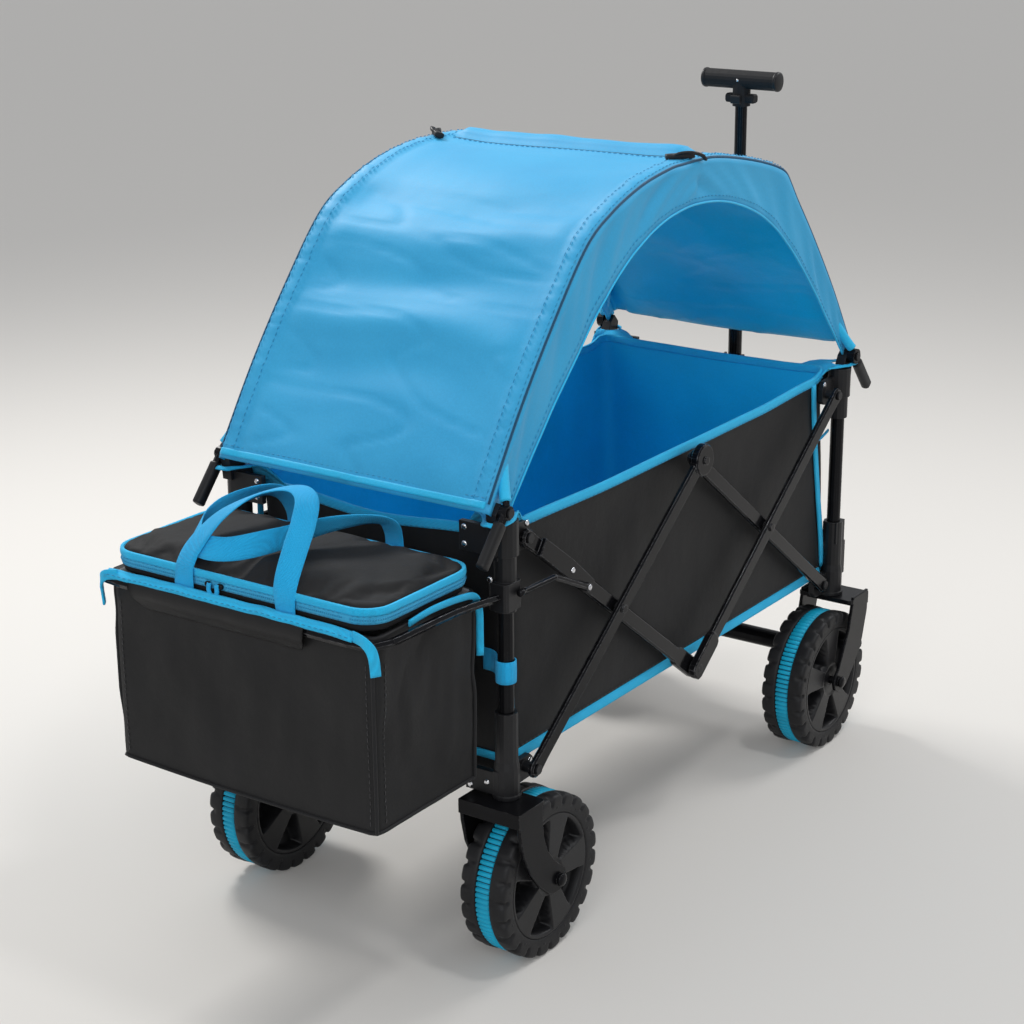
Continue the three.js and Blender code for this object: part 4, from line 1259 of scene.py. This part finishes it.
# ---------------------------------------------------------------- rivets, bolts, clips and caps
for side, s in SIDES:
    X = Vector((s, 0, 0))
    end = tube(f"stay_rod_end_{side}", [P(s * 236, -439, 514), P(s * 236, -450, 514)], 0.0044, GLOSS, 20)
    attach(end, "near_high_bars")
    rivets(f"stay_rivets_{side}", [(P(s * 230.5, -322, 505), X), (P(s * 239.5, -296, 476), X)],
           "near_high_bars", STEEL)
    rivets(f"near_bracket_rivets_{side}",
           [(P(s * 214.5, -398, 266), X), (P(s * 214.5, -428, 248), X), (P(s * 214.5, -424, 266), X)]
           + [(P(s * x, -467, z), Vector((0, -1, 0)))
              for x, z in ((170, 266), (170, 247), (196, 256))], "near_frame", STEEL)
    rivets(f"far_bracket_rivets_{side}",
           [(P(s * 214.5, 398, 266), X), (P(s * 214.5, 428, 248), X), (P(s * 214.5, 424, 266), X)]
           + [(P(s * x, 467, z), Vector((0, 1, 0)))
              for x, z in ((170, 266), (170, 247), (196, 256))], "far_frame", STEEL)
    rivets(f"near_hub_rivets_{side}", [(P(s * 214.5, -402, 588), X), (P(s * 214.5, -424, 563), X)]
           + [(P(s * x, -470, z), Vector((0, -1, 0)))
              for x, z in ((168, 594), (168, 572), (206, 532))], "near_top", STEEL)
    rivets(f"far_hub_rivets_{side}", [(P(s * 214.5, 402, 588), X), (P(s * 214.5, 424, 563), X)]
           + [(P(s * x, 470, z), Vector((0, 1, 0))) for x, z in ((168, 594), (168, 572))], "far_top", STEEL)
    for e, end, body in ((-1, "near", f"near_caster_{side}"), (1, "far", "far_frame")):
        rivets(f"{end}_axle_caps_{side}", [(P(s * 266, e * 400, 110), X)], body, METAL, r=0.0092, h=0.0042)

for side, s in SIDES:
    body = route([(186, -34, 990.5), (200, -22, 991.5), (212, -6, 991.8)], 10, s)
    clip = ribbon(f"ridge_clip_{side}", body, Vector((0.5, -0.6, 0)), 0.013, 0.006, PLASTIC)
    hook = route([(196, -30, 992), (205, -26, 996), (215, -14, 996), (221, 2, 991), (222, 10, 984)], 14, s)
    tab = ribbon(f"ridge_hook_{side}", hook, Vector((0.3, -0.4, 0.3)), 0.006, 0.003, PLASTIC)
    clip = joined(f"ridge_clip_{side}", [clip, tab])
    attach(soften(clip, 0.001, 2), "canopy_near")

# ---------------------------------------------------------------- set, light and camera
stage = Shader("studio_floor")
stage.set(Base_Color=(0.62, 0.60, 0.57, 1), Roughness=0.85, Emission_Color=(1, 0.98, 0.95, 1),
          Emission_Strength=0.06)
corners = [Vector((x, y, 0)) for x, y in ((-40, -40), (40, -40), (40, 40), (-40, 40))]
floor = make("studio_floor", corners, [(0, 1, 2, 3)], stage.m)

world = bpy.data.worlds.new("studio")
bpy.context.scene.world = world
world.use_nodes = True
world.node_tree.nodes["Background"].inputs[0].default_value = (0.90, 0.92, 0.95, 1)
world.node_tree.nodes["Background"].inputs[1].default_value = 0.62


def area(name, at, look, size, power, color=(1, 1, 1)):
    l = bpy.data.lights.new(name, "AREA")
    l.energy, l.size, l.color = power, size, color
    o = bpy.data.objects.new(name, l)
    o.location = at
    o.rotation_euler = (Vector(look) - Vector(at)).to_track_quat("-Z", "Y").to_euler()
    bpy.context.collection.objects.link(o)


area("key", (-2.0, 0.6, 2.6), (0, 0, 0.5), 0.9, 58, (1, 0.99, 0.97))
area("fill", (1.2, -2.8, 2.0), (0, 0, 0.5), 1.6, 26, (0.96, 0.98, 1))
area("rim", (0.9, 2.3, 2.4), (0, 0, 0.7), 1.0, 26)
area("top", (1.3, -0.15, 3.1), (0.2, 0, 0.4), 0.35, 14)

cam = bpy.data.cameras.new("camera")
cam.lens, cam.sensor_width = 75.96, 36
camera = bpy.data.objects.new("camera", cam)
bpy.context.collection.objects.link(camera)
a, e, roll = math.radians(35.0), math.radians(18.1), math.radians(-0.4)
at = Vector((1.657, -2.494 + MID, 1.433))
back_way = Vector((math.sin(a) * math.cos(e), -math.cos(a) * math.cos(e), math.sin(e)))
x_way = Vector((math.cos(a), math.sin(a), 0))
y_way = back_way.cross(x_way)
x_r = x_way * math.cos(roll) + y_way * math.sin(roll)
y_r = back_way.cross(x_r)
camera.matrix_world = Matrix.Translation(at) @ Matrix((x_r, y_r, back_way)).transposed().to_4x4()
bpy.context.scene.camera = camera
bpy.context.scene.view_settings.view_transform = "Standard"
